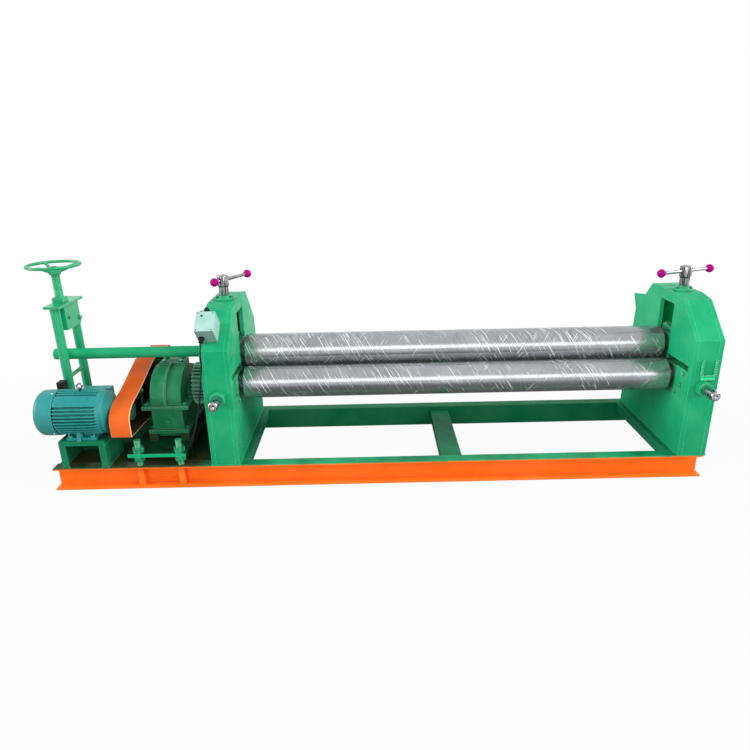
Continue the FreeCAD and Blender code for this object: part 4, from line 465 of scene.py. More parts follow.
def cast_enamel(name, colour):
    """Enamel over a sand casting: pitted skin with oily stains that run down, darker in corners as painted
    shade and pale on rubbed edges, partly as painted highlight.
    """
    finish = Finish(name, Roughness=0.42, Specular_IOR_Level=0.16)
    clouds = finish.step(finish.noise(8.0, 5, 0.65), 0.32, 0.70)
    base = finish.blend(clouds, darker(colour, 0.24), lighter(colour, 0.03))
    stains = finish.noise(14.0, 4, 0.6, finish.stretched((1.6, 1.6, 0.35)))
    base = finish.spotted(base, stains, 0.58, 0.74, 0.45, darker(colour, 0.60))
    # Darker in corners: painted shade.
    base = finish.shaded_in_corners(base, 0.05, 0.10, 0.85, 0.6, darker(colour, 0.85))
    # Pale on rubbed edges: partly rubbed paint, partly painted highlight.
    base, rounded = finish.worn_and_highlit(base, 0.004, 0.55, lighter(colour, 0.34))
    rough = finish.step(stains, 0.40, 0.70, 0.50, 0.24)
    pits = finish.sum("MULTIPLY_ADD", finish.noise(30.0, 3), 1.6, finish.noise(160.0, 3, 0.7))
    return finish.surface(base, rough, pits, 0.40, 0.0016, rounded)


def beam_enamel(name, orange, green):
    """Orange enamel on the base's front half that stops at the top flange with a wavering brush line, green
    elsewhere and darkened on top under the drive, partly by oily stains and partly as painted shade."""
    finish = Finish(name, Roughness=0.34, Specular_IOR_Level=0.13)
    clouds = finish.noise(4.5, 5, 0.6)
    warm = finish.blend(finish.step(clouds, 0.33, 0.68), darker(orange, 0.10), lighter(orange, 0.01))
    scuffs = finish.noise(16.0, 4, 0.6, finish.stretched((0.35, 1.5, 2.4)))
    warm = finish.spotted(warm, scuffs, 0.62, 0.74, 0.35, (0.55, 0.080, 0.010))
    cool = finish.blend(finish.step(clouds, 0.30, 0.70), darker(green, 0.55), darker(green, 0.10))
    # Darker on top under the drive: partly oily stains, partly painted shade.
    under_drive = finish.sum("MULTIPLY_ADD", finish.noise(6.0, 3), 0.1, finish.along("X"))
    pools = finish.step(finish.noise(13.0, 4), 0.40, 0.62)
    oil_and_shade = finish.blend(pools, (0.010, 0.040, 0.016), (0.050, 0.038, 0.012))
    cool = finish.blend(finish.step(under_drive, -1.18, -1.10, 0.9, 0.0), cool, oil_and_shade)
    height = finish.sum("MULTIPLY_ADD", finish.noise(30.0, 3), 0.002, finish.along("Z"))
    above, behind = finish.step(height, 0.1085, 0.1105), finish.step(finish.along("Y"), 0.30, 0.32)
    elsewhere = finish.sum("MAXIMUM", above, behind)
    # Darker in corners: painted shade.
    base = finish.shaded_in_corners(finish.blend(elsewhere, warm, cool), 0.04, 0.10, 0.80, 0.35, (0.30, 0.03, 0.004))
    # Pale on rubbed edges: partly rubbed paint, partly painted highlight.
    base, rounded = finish.worn_and_highlit(base, 0.003, 0.45, (1.0, 0.42, 0.14))
    rough = finish.step(finish.noise(20.0, 4), 0.3, 0.7, 0.28, 0.50)
    return finish.surface(base, rough, finish.noise(55.0, 4), 0.22, 0.0012, rounded)


def wrapped_steel(name, colour, middle_y, middle_z, radius, lean):
    """Ground steel under stretch film: an even grey with thin pale creases that slant in clusters, partly the
    film's whitening and partly painted highlight, with dark lines beside them as painted shade.
    The pattern's place is (x, radius·angle) with the angle measured round the roll's own axis."""
    metallic = 0.8
    finish = Finish(name, Metallic=metallic)
    angle = finish.sum("ARCTAN2", finish.sum("SUBTRACT", finish.along("Y"), middle_y),
                       finish.sum("SUBTRACT", finish.along("Z"), middle_z))
    rolled = finish.node("ShaderNodeCombineXYZ", {
        "X": finish.along("X"), "Y": finish.sum("MULTIPLY", angle, radius), "Z": 9.0 * middle_z,
    }).outputs["Vector"]

    def drawn_out(scale, stretch, detail, rough, slant=0.0):
        source = finish.stretched((1, 1, 1), (0, 0, slant * lean), rolled) if slant else rolled
        return finish.noise(scale, detail, rough, finish.stretched(stretch, source=source))

    rings = drawn_out(1.0, (90.0, 3.0, 1.0), 3, 0.6)
    clouds = finish.step(drawn_out(5.0, (1.0, 2.4, 1.0), 4, 0.6), 0.3, 0.7)
    base = finish.blend(clouds, darker(colour, 0.14), lighter(colour, 0.06))
    base = finish.spotted(base, rings, 0.35, 0.65, 0.22, darker(colour, 0.22))
    pale = 0.0
    # Pale creases: partly the film's whitening, partly painted highlight.
    for slant, stretch, cut, group in (
            (1.08, (7.0, 230.0, 1.0), 0.668, 3.6), (1.14, (5.0, 200.0, 1.0), 0.680, 2.3),
            (1.00, (10.0, 280.0, 1.0), 0.665, 5.1), (-1.00, (10.0, 230.0, 1.0), 0.710, 4.1)):
        lines = drawn_out(1.0, stretch, 1, 0.4, slant)
        grouped = finish.step(drawn_out(group, (1, 1.2, 1), 2, 0.5), 0.47, 0.57)
        crease = finish.sum("MULTIPLY", finish.step(lines, cut, cut + 0.05), grouped)
        pale = finish.sum("MAXIMUM", pale, crease)
        # Dark lines beside the creases: painted shade.
        dark = finish.sum("MULTIPLY", finish.step(lines, 0.36, 0.31, 0.0, 0.35), grouped)
        base = finish.blend(dark, base, darker(colour, 0.75))
    base = finish.blend(pale, base, (0.93, 0.94, 0.95))
    finish.feed(finish.shader.inputs["Metallic"], finish.sum("MULTIPLY_ADD", pale, -0.65, metallic))
    rough = finish.sum("MULTIPLY_ADD", pale, 0.2, finish.step(rings, 0.3, 0.7, 0.19, 0.26))
    wrinkles = finish.sum("ADD", pale, drawn_out(1.0, (9.0, 60.0, 1.0), 2, 0.5, 1.05))
    return finish.surface(base, rough, wrinkles, 0.12, 0.0006)


def bright_steel(name, colour, rough_low=0.14, rough_high=0.30, rust=0.03, streaks=0.0):
    """Turned steel: fine lines round it, dark streaks along it as painted reflections, painted shade in its
    recesses, dulled patches and a breath of rust.
    """
    finish = Finish(name, Metallic=1.0)
    patches = finish.noise(26.0, 4, 0.6)
    base = finish.blend(finish.step(patches, 0.3, 0.7), darker(colour, 0.28), lighter(colour, 0.20))
    # Dark streaks along the piece, as much as streaks asks for: painted reflections.
    reflection_streaks = finish.noise(1.0, 3, 0.6, finish.stretched((110.0, 110.0, 9.0)))
    base = finish.spotted(base, reflection_streaks, 0.45, 0.55, streaks, darker(colour, 0.88))
    # Darker in recesses: painted shade.
    base = finish.shaded_in_corners(base, 0.02, 0.2, 0.9, 0.55, (0.10, 0.09, 0.08))
    base = finish.spotted(base, finish.noise(90.0, 3, 0.7), 0.62, 0.72, rust, (0.16, 0.07, 0.03))
    rough = finish.step(patches, 0.3, 0.7, rough_low, rough_high)
    lines = finish.noise(1.0, 3, 0.6, finish.stretched((60.0, 60.0, 420.0)))
    return finish.surface(base, rough, lines, 0.10, 0.0004, finish.rounded(0.0015))


def greasy_gear_steel(name, green):
    """Cut gear steel with over-sprayed paint on its faces, pale edges partly as painted highlight, and
    painted shade between its teeth.
    """
    finish = Finish(name, Metallic=0.35, Specular_IOR_Level=0.4)
    patches = finish.noise(20.0, 4, 0.6)
    base = finish.blend(finish.step(patches, 0.38, 0.62), (0.07, 0.16, 0.11), (0.02, 0.16, 0.08))
    base = finish.spotted(base, finish.noise(33.0, 3), 0.50, 0.58, 0.8, darker(green, 0.45))
    # Pale tooth edges: partly rubbed metal, partly painted highlight.
    base, rounded = finish.worn_and_highlit(base, 0.002, 0.75, (0.36, 0.62, 0.46))
    # Nearly black between the teeth: painted shade.
    base = finish.shaded_in_corners(base, 0.015, 0.2, 0.9, 0.75, (0.015, 0.02, 0.016))
    rough = finish.step(patches, 0.3, 0.7, 0.28, 0.5)
    return finish.surface(base, rough, finish.noise(110.0, 3), 0.2, 0.0006, rounded)


def plated(name, tint):
    """Painted-over fasteners: pale green overspray, paler corners partly rubbed and partly as painted
    highlight, painted shade in recesses.
    """
    finish = Finish(name, Metallic=0.25, Specular_IOR_Level=0.6)
    patches = finish.noise(60.0, 3, 0.6)
    base = finish.blend(finish.step(patches, 0.4, 0.6), tint, darker(tint, 0.45))
    # Pale green corners: partly rubbed, partly painted highlight.
    base, rounded = finish.worn_and_highlit(base, 0.0018, 0.60, (0.42, 0.95, 0.62))
    # Darker in recesses: painted shade.
    base = finish.shaded_in_corners(base, 0.02, 0.2, 0.9, 0.6, darker(tint, 0.8))
    rough = finish.step(patches, 0.3, 0.7, 0.16, 0.30)
    return finish.surface(base, rough, finish.noise(120.0, 3), 0.2, 0.0005, rounded)


def polished_ball(name, colour):
    """Moulded phenolic with a soft gloss and faint flow marks."""
    finish = Finish(name, Roughness=0.2, Specular_IOR_Level=0.05, Coat_Weight=0.02, Coat_Roughness=0.1)
    flow = finish.noise(45.0, 4, 0.6, finish.stretched((1, 1, 2.5)))
    base = finish.blend(finish.step(flow, 0.3, 0.7), darker(colour, 0.22), colour)
    rough = finish.step(finish.noise(80.0, 3), 0.3, 0.7, 0.12, 0.24)
    return finish.surface(base, rough, flow, 0.05, 0.0004)


def powder_coat(name, colour):
    """Satin powder coat on thin sheet: even tone, pebbled skin, painted shade underneath and in corners, pale
    edges partly as painted highlight.
    """
    finish = Finish(name, Roughness=0.4, Specular_IOR_Level=0.3)
    clouds = finish.step(finish.noise(14.0, 4, 0.6), 0.3, 0.7)
    base = finish.blend(clouds, darker(colour, 0.10), lighter(colour, 0.05))
    # Darker on faces that face down: painted shade.
    base = finish.spotted(base, finish.facing("Z"), -0.4, -0.8, 1.0, darker(colour, 0.45))
    # Pale edges: partly rubbed, partly painted highlight.
    base, rounded = finish.worn_and_highlit(base, 0.002, 0.4, (0.95, 0.98, 0.97))
    # Darker in corners: painted shade.
    base = finish.shaded_in_corners(base, 0.03, 0.15, 0.85, 0.5, darker(colour, 0.7))
    rough = finish.step(finish.noise(50.0, 3), 0.3, 0.7, 0.34, 0.50)
    return finish.surface(base, rough, finish.noise(240.0, 2), 0.12, 0.0006, rounded)


def black_moulding(name, colour=(0.012, 0.013, 0.015), rough_low=0.42, rough_high=0.62):
    """Black moulded plastic or rubber with dust lying on it."""
    finish = Finish(name, Roughness=0.5, Specular_IOR_Level=0.15)
    dust = finish.noise(42.0, 4, 0.65)
    base = finish.blend(finish.step(dust, 0.50, 0.75, 0.0, 0.2), colour, (0.07, 0.09, 0.08))
    rough = finish.step(dust, 0.3, 0.7, rough_low, rough_high)
    return finish.surface(base, rough, finish.noise(190.0, 3), 0.25, 0.0005)


COATS = {}


def coats():
    """Every finish of the machine by its short name, made once from the chosen colours."""
    if COATS:
        return COATS
    chosen = bpy.context.scene.plate_roller_colours
    green, deep, orange = tuple(chosen.green), tuple(chosen.deep_green), tuple(chosen.orange)
    COATS.update({
        "green": enamel("green enamel", green),
        # The housings' enamel is brighter between the side plates, where the dark cavity lies: painted light.
        "housing green": enamel("green enamel of the housings, lit inside by paint", green, painted_light_span=(1.0495, 1.1405)),
        # A darker copy of the green for the base's parts that stand in shade: painted shade.
        "shadow green": enamel("green enamel of the base in painted shade", darker(green, 0.40), wear_and_highlight=0.35, corner_shade=0.4),
        # The deck, brackets and support plate are nearly black: partly an oily film, partly painted shade.
        "oily and shaded": oily_shaded_enamel("oily and shaded enamel of the deck", green),
        "oily and shaded plate": oily_shaded_enamel("oily and shaded enamel of the support plate", green, green),
        "bead green": enamel("green enamel over weld beads", green, gloss=0.2, wear_and_highlight=0.5, shine=0.5),
        "cast green": cast_enamel("cast green enamel", deep),
        "glossy green": enamel("glossy green enamel", green, gloss=0.20, corner_shade=0.35, texture=1.6, shine=0.40),
        "beam": beam_enamel("orange and green beam enamel", orange, green),
        # The guard is dark inside as painted shade, and pale on its edges and mouth as painted highlight.
        "orange": enamel("orange enamel", (0.82 * orange[0], 0.66 * orange[1], 0.6 * orange[2]), gloss=0.36,
                         wear_and_highlight=1.0, corner_shade=0.15, edge_radius=0.006, inside=(0.05, 0.045, 0.018), shine=0.08,
                         rim=(1.0, 0.56, 0.30), lip=GUARD_LIP),
        "teal": enamel("teal motor paint", tuple(chosen.teal), gloss=0.30, wear_and_highlight=0.8, corner_shade=0.2, shine=0.35),
        "mint": powder_coat("pale powder coat", tuple(chosen.mint)),
        "drawn": bright_steel("drawn bar steel", (0.30, 0.31, 0.33), 0.24, 0.34, 0.0),
        "bright": bright_steel("bright turned steel", (0.42, 0.43, 0.45), streaks=0.9),
        "chrome": bright_steel("polished screw steel", (0.62, 0.63, 0.65), 0.10, 0.22, streaks=0.5),
        "gear": greasy_gear_steel("greasy gear steel", green),
        "plated": plated("painted fasteners", (0.020, 0.42, 0.18)),
        "eye": bright_steel("eye bolt steel", (0.22, 0.23, 0.24), 0.12, 0.25, 0.02, 0.8),
        "zinc": bright_steel("zinc plated screws", (0.86, 0.86, 0.84), 0.45, 0.6, 0.0),
        "ball": polished_ball("magenta phenolic", tuple(chosen.knob)),
        "black": black_moulding("black moulding"),
        "rubber": black_moulding("belt rubber", (0.010, 0.010, 0.010), 0.55, 0.8),
    })
    return COATS


COAT_OF_SLOT = {
    "green_paint": "green", "orange_paint": "orange", "teal_paint": "teal", "cast_green": "cast green",
    "roll_steel": "bright", "bright_steel": "bright", "gear_steel": "gear", "zinc": "plated",
    "knob_plastic": "ball", "box_paint": "mint", "black_plastic": "black", "belt_rubber": "rubber",
}
COAT_OF_NODE = {
    "front_beam": "beam", "web_stiffeners": "beam", "eye_bolts": "eye", "support_plate": "oily and shaded plate",
    "deck_plate": "oily and shaded", "drive_brackets": "oily and shaded",
    "left_side_plates": "housing green", "right_side_plates": "housing green",
    **dict.fromkeys(("rear_beam", "cross_members", "motor_stand"), "shadow green"),
    **dict.fromkeys(("handwheel", "keeper_plates", "screw_nuts", "tail_cross_bars", "tail_posts",
                     "tail_screw", "tail_screw_nut", "tail_top_plate"), "glossy green"),
}


class StepOperator:
    """What every step shares: Blender lists it in its history and can undo it."""

    bl_options = {"REGISTER", "UNDO"}


class ROLLER_OT_camera(StepOperator, bpy.types.Operator):
    """Set the camera where the picture was taken"""

    bl_idname = "roller.camera"
    bl_label = "Camera"

    def execute(self, context):
        camera = linked("camera", bpy.data.cameras.new("camera"))
        yaw, pitch, roll = math.radians(0.24), math.radians(19.86), math.radians(-1.12)
        ahead = Vector((math.sin(yaw) * math.cos(pitch), math.cos(yaw) * math.cos(pitch), -math.sin(pitch)))
        right = ahead.cross(Vector(UP)).normalized()
        up = right.cross(ahead)
        leaning_right = right * math.cos(roll) + up * math.sin(roll)
        leaning_up = up * math.cos(roll) - right * math.sin(roll)
        turn = Matrix((leaning_right, leaning_up, -ahead)).transposed()
        camera.matrix_world = Matrix.Translation((-0.3973, -2.5917, 1.4738)) @ turn.to_4x4()
        camera.data.sensor_width = 36
        camera.data.lens = 29.364
        camera.data.clip_end = 100
        context.scene.camera = camera
        return {"FINISHED"}


def pale_floor():
    """A wide floor that looks like the white round the machine: lit from within where the camera sees it, but
    for a faint shadow near the machine, and darker near the machine in what mirrors it."""
    reach = 40.0
    mesh = bpy.data.meshes.new("floor")
    mesh.from_pydata([(-reach, -reach, 0), (reach, -reach, 0), (reach, reach, 0), (-reach, reach, 0)], [],
                     [(0, 1, 2, 3)])
    floor = linked("floor", mesh)
    floor.location.z = -0.0005
    finish = Finish("pale floor", Roughness=0.9, Base_Color=(0.5, 0.5, 0.5, 1), Specular_IOR_Level=0.0)
    ray = finish.node("ShaderNodeLightPath").outputs
    centred = finish.node("ShaderNodeMapping", {
        "Vector": finish.place, "Location": (0.12, -0.12, 0), "Scale": (0.40, 0.50, 0)}).outputs["Vector"]
    away = finish.node("ShaderNodeVectorMath", {0: centred}, operation="LENGTH").outputs["Value"]
    seen = finish.sum("MULTIPLY", ray["Is Camera Ray"], finish.step(away, 0.75, 1.5, 0.955, 1.0))
    strength = finish.sum("MAXIMUM", ray["Is Camera Ray"], finish.step(away, 0.40, 1.30, 0.10, 1.0))
    glow = finish.node("ShaderNodeEmission", {"Color": (1, 1, 1, 1), "Strength": strength}).outputs[0]
    mixed = finish.node("ShaderNodeMixShader", {
        "Fac": finish.sum("MAXIMUM", seen, ray["Is Glossy Ray"]), 1: finish.shader.outputs[0], 2: glow})
    finish.feed(finish.tree.nodes["Material Output"].inputs["Surface"], mixed.outputs[0])
    mesh.materials.append(finish.material)
    return floor


def studio_world():
    """A white surrounding, at full strength where it is seen or mirrored and softer as light."""
    world = bpy.data.worlds.new("studio")
    world.use_nodes = True
    network = Network(world.node_tree)
    ray = network.node("ShaderNodeLightPath").outputs
    mirrored = network.sum("MAXIMUM", ray["Is Glossy Ray"], ray["Is Transmission Ray"])
    seen = network.sum("MAXIMUM", ray["Is Camera Ray"], mirrored)
    strength = network.node("ShaderNodeMapRange", {"Value": seen, "To Min": 0.52, "To Max": 1.0})
    background = network.tree.nodes["Background"].inputs
    network.feed(background["Color"], (1, 1, 1, 1))
    network.feed(background["Strength"], strength.outputs["Result"])
    return world


def lamp(name, kind, power, way, place=(0, 0, 0), **shape):
    """A light of some power and shape that shines one way."""
    light = bpy.data.lights.new(name, kind)
    light.energy = power
    for key, value in shape.items():
        setattr(light, key, value)
    made = linked(name, light)
    made.location = place
    made.rotation_euler = way.to_track_quat("-Z", "Y").to_euler()


class ROLLER_OT_stage(StepOperator, bpy.types.Operator):
    """Lay the pale floor and set the studio lights"""

    bl_idname = "roller.stage"
    bl_label = "Floor and lights"

    def execute(self, context):
        pale_floor()
        context.scene.world = studio_world()
        place, aim = Vector((0.4, -3.0, 1.45)), Vector((0.4, 0.28, 0.55))
        lamp("long front panel", "AREA", 56, aim - place, place, shape="RECTANGLE", size=6.2, size_y=1.2)
        lamp("left windows", "SUN", 2.3, -Vector((-0.90, -0.21, 0.38)), angle=math.radians(30))
        lamp("right windows", "SUN", 2.4, -Vector((0.85, -0.18, 0.49)), angle=math.radians(30))
        context.scene.view_settings.view_transform = "Standard"
        return {"FINISHED"}


class ROLLER_OT_coats(StepOperator, bpy.types.Operator):
    """Give every modelled node its finish"""

    bl_idname = "roller.coats"
    bl_label = "Finishes"

    def execute(self, context):
        made = coats()
        for part in frame["record"]["subparts"]:
            name = part["node"]
            coat = made[COAT_OF_NODE.get(name, COAT_OF_SLOT[part["material_slot"]])]
            for number in range(max(1, len(NODES[name].material_slots))):
                if not NODES[name].material_slots:
                    NODES[name].data.materials.append(coat)
                NODES[name].material_slots[number].material = coat
        return {"FINISHED"}


class ROLLER_OT_cable(StepOperator, bpy.types.Operator):
    """Lead the control cable from the box down to the deck"""

    bl_idname = "roller.cable"
    bl_label = "Control cable"

    def execute(self, context):
        route = (
            (-1.1410, -0.0350, 0.7163), (-1.1410, -0.0732, 0.6810), (-1.1440, -0.0580, 0.6160),
            (-1.1560, -0.0490, 0.5560), (-1.1670, -0.0420, 0.4920), (-1.1810, -0.0380, 0.4240),
            (-1.1990, -0.0360, 0.3500), (-1.2240, -0.0310, 0.2820), (-1.2460, -0.0130, 0.2280),
            (-1.2600, 0.0180, 0.1920), (-1.2670, 0.0460, 0.1660), (-1.2680, 0.0550, 0.1460),
            (-1.2680, 0.0550, 0.1220),
        )
        curve = bpy.data.curves.new("control_cable_line", "CURVE")
        curve.dimensions = "3D"
        curve.bevel_depth = 0.004
        curve.bevel_resolution = 4
        line = curve.splines.new("NURBS")
        line.points.add(len(route) - 1)
        line.points.foreach_set("co", np.insert(np.array(route), 3, 1, axis=1).ravel())
        line.order_u = 3
        line.use_endpoint_u = True
        line.resolution_u = 12
        cable = linked("control_cable_line", curve)
        curve.materials.append(coats()["black"])
        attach(cable, FRAME)
        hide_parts("control_cable")
        return {"FINISHED"}


class ROLLER_OT_rolls(StepOperator, bpy.types.Operator):
    """Turn the three rolls with their journals, wrapped in film"""

    bl_idname = "roller.rolls"
    bl_label = "Rolls"

    def execute(self, context):
        steel = tuple(context.scene.plate_roller_colours.steel)
        right_end, gear_seat, chamfer = 1.158, -1.182, 0.004
        # Name, middle, radius, left end and its radius, body, and the way that the film's creases lean
        rolls = (
            ("top_roll", ROLL_Y, TOP_Z, 0.080, -OUTER_X, JOURNAL, "top_roll_body", 1),
            ("front_lower_roll", FRONT_ROLL_Y, LOW_Z, 0.076, -1.242, 0.035, "front_roll_body", 1),
            ("rear_lower_roll", REAR_ROLL_Y, LOW_Z, 0.076, -1.242, 0.035, "rear_roll_body", -1),
        )
        for name, y, z, radius, left, left_radius, body, lean in rolls:
            corners = [(left, 0), (left, left_radius)]
            if left_radius < JOURNAL:
                corners += [(gear_seat, left_radius), (gear_seat, JOURNAL)]
            corners += [(-ROLL_END, JOURNAL), (-ROLL_END, radius - chamfer), (-ROLL_END + chamfer, radius),
                        (ROLL_END - chamfer, radius), (ROLL_END, radius - chamfer), (ROLL_END, JOURNAL),
                        (right_end, JOURNAL), (right_end, 0)]
            surface = turned(softened(corners, 0.0012, 3), (0, y, z), ALONG, 160)
            coat = wrapped_steel(name + " wrapped steel", steel, y, z, radius, lean)
            piece(name + "_turned", surface, body, coat, (name,), sharp=30)
        tip = -1.952
        tail = softened([(tip, 0), (tip, 0.023), (tip + 0.004, 0.027), (-OUTER_X, 0.027), (-OUTER_X, 0)],
                        0.002, 4)
        piece("top_roll_tail_bar", turned(tail, (0, ROLL_Y, TOP_Z), ALONG, 64), "top_roll_body",
              coats()["green"], ("top_roll_tail",))
        return {"FINISHED"}


def drilled(made, *holes):
    """Cuts closed surfaces out of a piece and keeps the result as its mesh."""
    cutters = []
    for hole in holes:
        cutters.append(linked("drill", closed_mesh("drill", hole)))
        cut = made.modifiers.new("Hole", "BOOLEAN")
        cut.object, cut.operation, cut.solver = cutters[-1], "DIFFERENCE", "EXACT"
    ready = made.evaluated_get(bpy.context.evaluated_depsgraph_get())
    mesh = bpy.data.meshes.new_from_object(ready)
    made.modifiers.clear()
    made.data = mesh
    for cutter in cutters:
        bpy.data.objects.remove(cutter)
    mesh.set_sharp_from_angle(angle=math.radians(40))


def bar_line(side):
    """Middle, direction and half span of one side's sliding bar, which goes through the screw's head."""
    hole_z = 0.927
    angle, span, shift = ((62, 0.240, 0.062), (21, 0.300, 0.0))[side > 0]
    way = np.array([math.cos(math.radians(angle)), math.sin(math.radians(angle)), 0])
    return np.array([side * SCREW_X, ROLL_Y, hole_z]) + way * shift, way, span / 2


class ROLLER_OT_press_screws(StepOperator, bpy.types.Operator):
    """Turn the press screws with their threads, the sliding bars and the balls"""

    bl_idname = "roller.press_screws"
    bl_label = "Press screws and bars"

    def execute(self, context):
        made = coats()
        ball = context.scene.plate_roller_sizes.ball_diameter / 2
        for side, word in ((-1, "left"), (1, "right")):
            x = side * SCREW_X
            head = softened([(0.860, 0), (0.860, 0.023), (0.897, 0.023), (0.903, 0.027), (0.948, 0.027),
                             (0.951, 0.024), (0.951, 0.006), (0.948, 0.003), (0.948, 0)], 0.0015, 3)
            foot = softened([(0.6363, 0), (0.6363, 0.031), (0.6483, 0.031), (0.6483, 0.021), (0.7, 0.021),
                             (0.7, 0)], 0.0015, 3)
            surface = joined(
                turned(head, (x, ROLL_Y, 0), UP, 72),
                turned(foot, (x, ROLL_Y, 0), UP, 72),
                threaded((x, ROLL_Y, 0.690), UP, length=0.172, radius=0.023, depth=0.004, pitch=0.008,
                         segments=48),
            )
            piece(word + "_press_screw_turned", surface, word + "_press_screw_body", made["bright"],
                  (word + "_press_screw",))
            middle, way, half = bar_line(side)
            reach = half - ball * 0.5
            profile = softened(rod(-reach, reach, 0.008), 0.001, 3)
            piece(word + "_bar_turned", turned(profile, middle, way, 40), word + "_bar_body", made["drawn"],
                  (word + "_t_bar",))
            t = np.linspace(0.0, math.pi - 0.38, 26)
            dome = np.stack([ball * np.cos(t), ball * np.sin(t)], 1)
            neck = ball * np.array([(-0.98, 0.44), (-1.06, 0.43), (-1.06, 0.22)])
            knob = np.vstack([dome, neck])
            both = joined(turned(knob, middle + way * half, way, 48),
                          turned(knob, middle - way * half, -way, 48))
            piece(word + "_balls_moulded", both, word + "_bar_body", made["ball"],
                  (word + "_ball_knobs",), sharp=60)
        return {"FINISHED"}


class ROLLER_OT_front_screws(StepOperator, bpy.types.Operator):
    """Turn the front screws with chamfered, centre-drilled ends and cross holes for the bar"""

    bl_idname = "roller.front_screws"
    bl_label = "Front screws"

    def execute(self, context):
        tip, inner, radius = -0.137, 0.120, 0.0225
        outline = softened([(tip + 0.010, 0), (tip, 0.0065), (tip, 0.0185), (tip + 0.004, radius),
                            (inner, radius), (inner, 0)], 0.0008, 3)
        for side, word in ((-1, "left"), (1, "right")):
            x = side * SCREW_X
            node = word + "_front_screw"
            screw = piece(node + "_turned", turned(outline, (x, 0, LOW_Z), (0, 1, 0), 72),
                          node + "_body", coats()["chrome"], (node,))
            bar_hole = rod(-0.04, 0.04, 0.007)
            drilled(screw, *(turned(bar_hole, (x, -0.109, LOW_Z), way, 32) for way in (ALONG, UP)))
        return {"FINISHED"}


class ROLLER_OT_handwheel(StepOperator, bpy.types.Operator):
    """Shape the handwheel's rim, curved spokes and hub"""

    bl_idname = "roller.handwheel"
    bl_label = "Handwheel"

    def execute(self, context):
        rim = context.scene.plate_roller_sizes.wheel_rim / 2
        centre = np.array([TAIL_X, ROLL_Y, 1.014])
        parts = [ring(centre, UP, radius=0.115, wide=rim * 0.95, high=rim * 0.92, around=120, across=24)]
        s = np.linspace(0, 1, 24)[:, None]
        rise = s * s * (3 - 2 * s)
        for number in range(3):
            angle = math.radians(17 + 120 * number)
            way = np.array([math.cos(angle), math.sin(angle), 0])
            path = np.array([TAIL_X, ROLL_Y, 0.988]) + way * (0.016 + 0.094 * s) + 0.026 * rise * np.array(UP)
            parts.append(tube(path, np.linspace(0.0085, 0.0068, 24), np.cross(UP, way), 18))
        hub = softened([(0.970, 0.014), (0.970, 0.026), (0.975, 0.028), (0.996, 0.027), (1.006, 0.021),
                        (1.006, 0.014)], 0.003, 5)
        hub = np.vstack([[(0.970, 0)], hub, [(1.006, 0)]])
        parts.append(turned(hub, (TAIL_X, ROLL_Y, 0), UP, 56))
        piece("handwheel_cast", joined(*parts), "tail_screw_body", coats()["glossy green"],
              ("handwheel",), sharp=50)
        stem = joined(threaded((TAIL_X, ROLL_Y, 0.7193), UP, length=0.2507, radius=0.020, depth=0.0025,
                               pitch=0.007, segments=40),
                      turned(rod(0.968, 1.006, 0.014), (TAIL_X, ROLL_Y, 0), UP, 32))
        piece("tail_screw_threaded", stem, "tail_screw_body", coats()["glossy green"],
              ("tail_screw",))
        return {"FINISHED"}


def motor_body(count):
    """The motor's bored body with its fins: r(x, t) = core + height·fins·ends·(1 - pad) + pad height·pad.
    The fins are a clipped cosine of count·t, softened, and 1 all over the plain band; ends fall to 0 with a
    square root where the fins stop; the pad is 1 round the lowest point, where the feet are."""
    core, height, pad_height, bore_radius = 0.093, 0.015, 0.004, 0.0552
    band_middle, band_half = math.radians(130.5), math.radians(13.5)
    t = once_round(count * 12)[None, :]

    def away(angle):
        return np.abs(np.angle(np.exp(1j * (t - angle))))

    fins = np.clip(0.5 + 1.35 * np.cos(t * count), 0, 1)
    fins = np.where(away(band_middle) < band_half, 1.0, fins * fins * (3 - 2 * fins))
    x = np.concatenate([np.linspace(MOTOR_LEFT, MOTOR_LEFT + 0.012, 7),
                        np.linspace(MOTOR_LEFT + 0.02, MOTOR_RIGHT - 0.034, 12),
                        np.linspace(MOTOR_RIGHT - 0.028, MOTOR_RIGHT, 12)])[:, None]
    ends = (np.clip((MOTOR_RIGHT - 0.004 - x) / 0.026, 0, 1) * np.clip((x - MOTOR_LEFT) / 0.004, 0, 1)) ** 0.5
    pad = np.clip(1.6 - away(-math.pi / 2) * 2.4, 0, 1)
    r = core + height * fins * ends * (1 - pad) + pad_height * pad
    points = np.stack([np.broadcast_to(x, r.shape), MOTOR_Y + r * np.cos(t), MOTOR_Z + r * np.sin(t)], -1)
    bore = [(MOTOR_LEFT, core), (MOTOR_LEFT, bore_radius), (MOTOR_RIGHT, bore_radius), (MOTOR_RIGHT, core)]
    collar = softened([(-1.665, 0.090), (-1.665, 0.1005), (MOTOR_RIGHT, 0.1005), (MOTOR_RIGHT, 0.090)],
                      0.002, 3)
    return joined((points.reshape(-1, 3), quads(len(x), t.shape[1], wrap_columns=True)),
                  turned(bore, MOTOR_AXIS, ALONG, 64), turned(collar, MOTOR_AXIS, ALONG, 96))


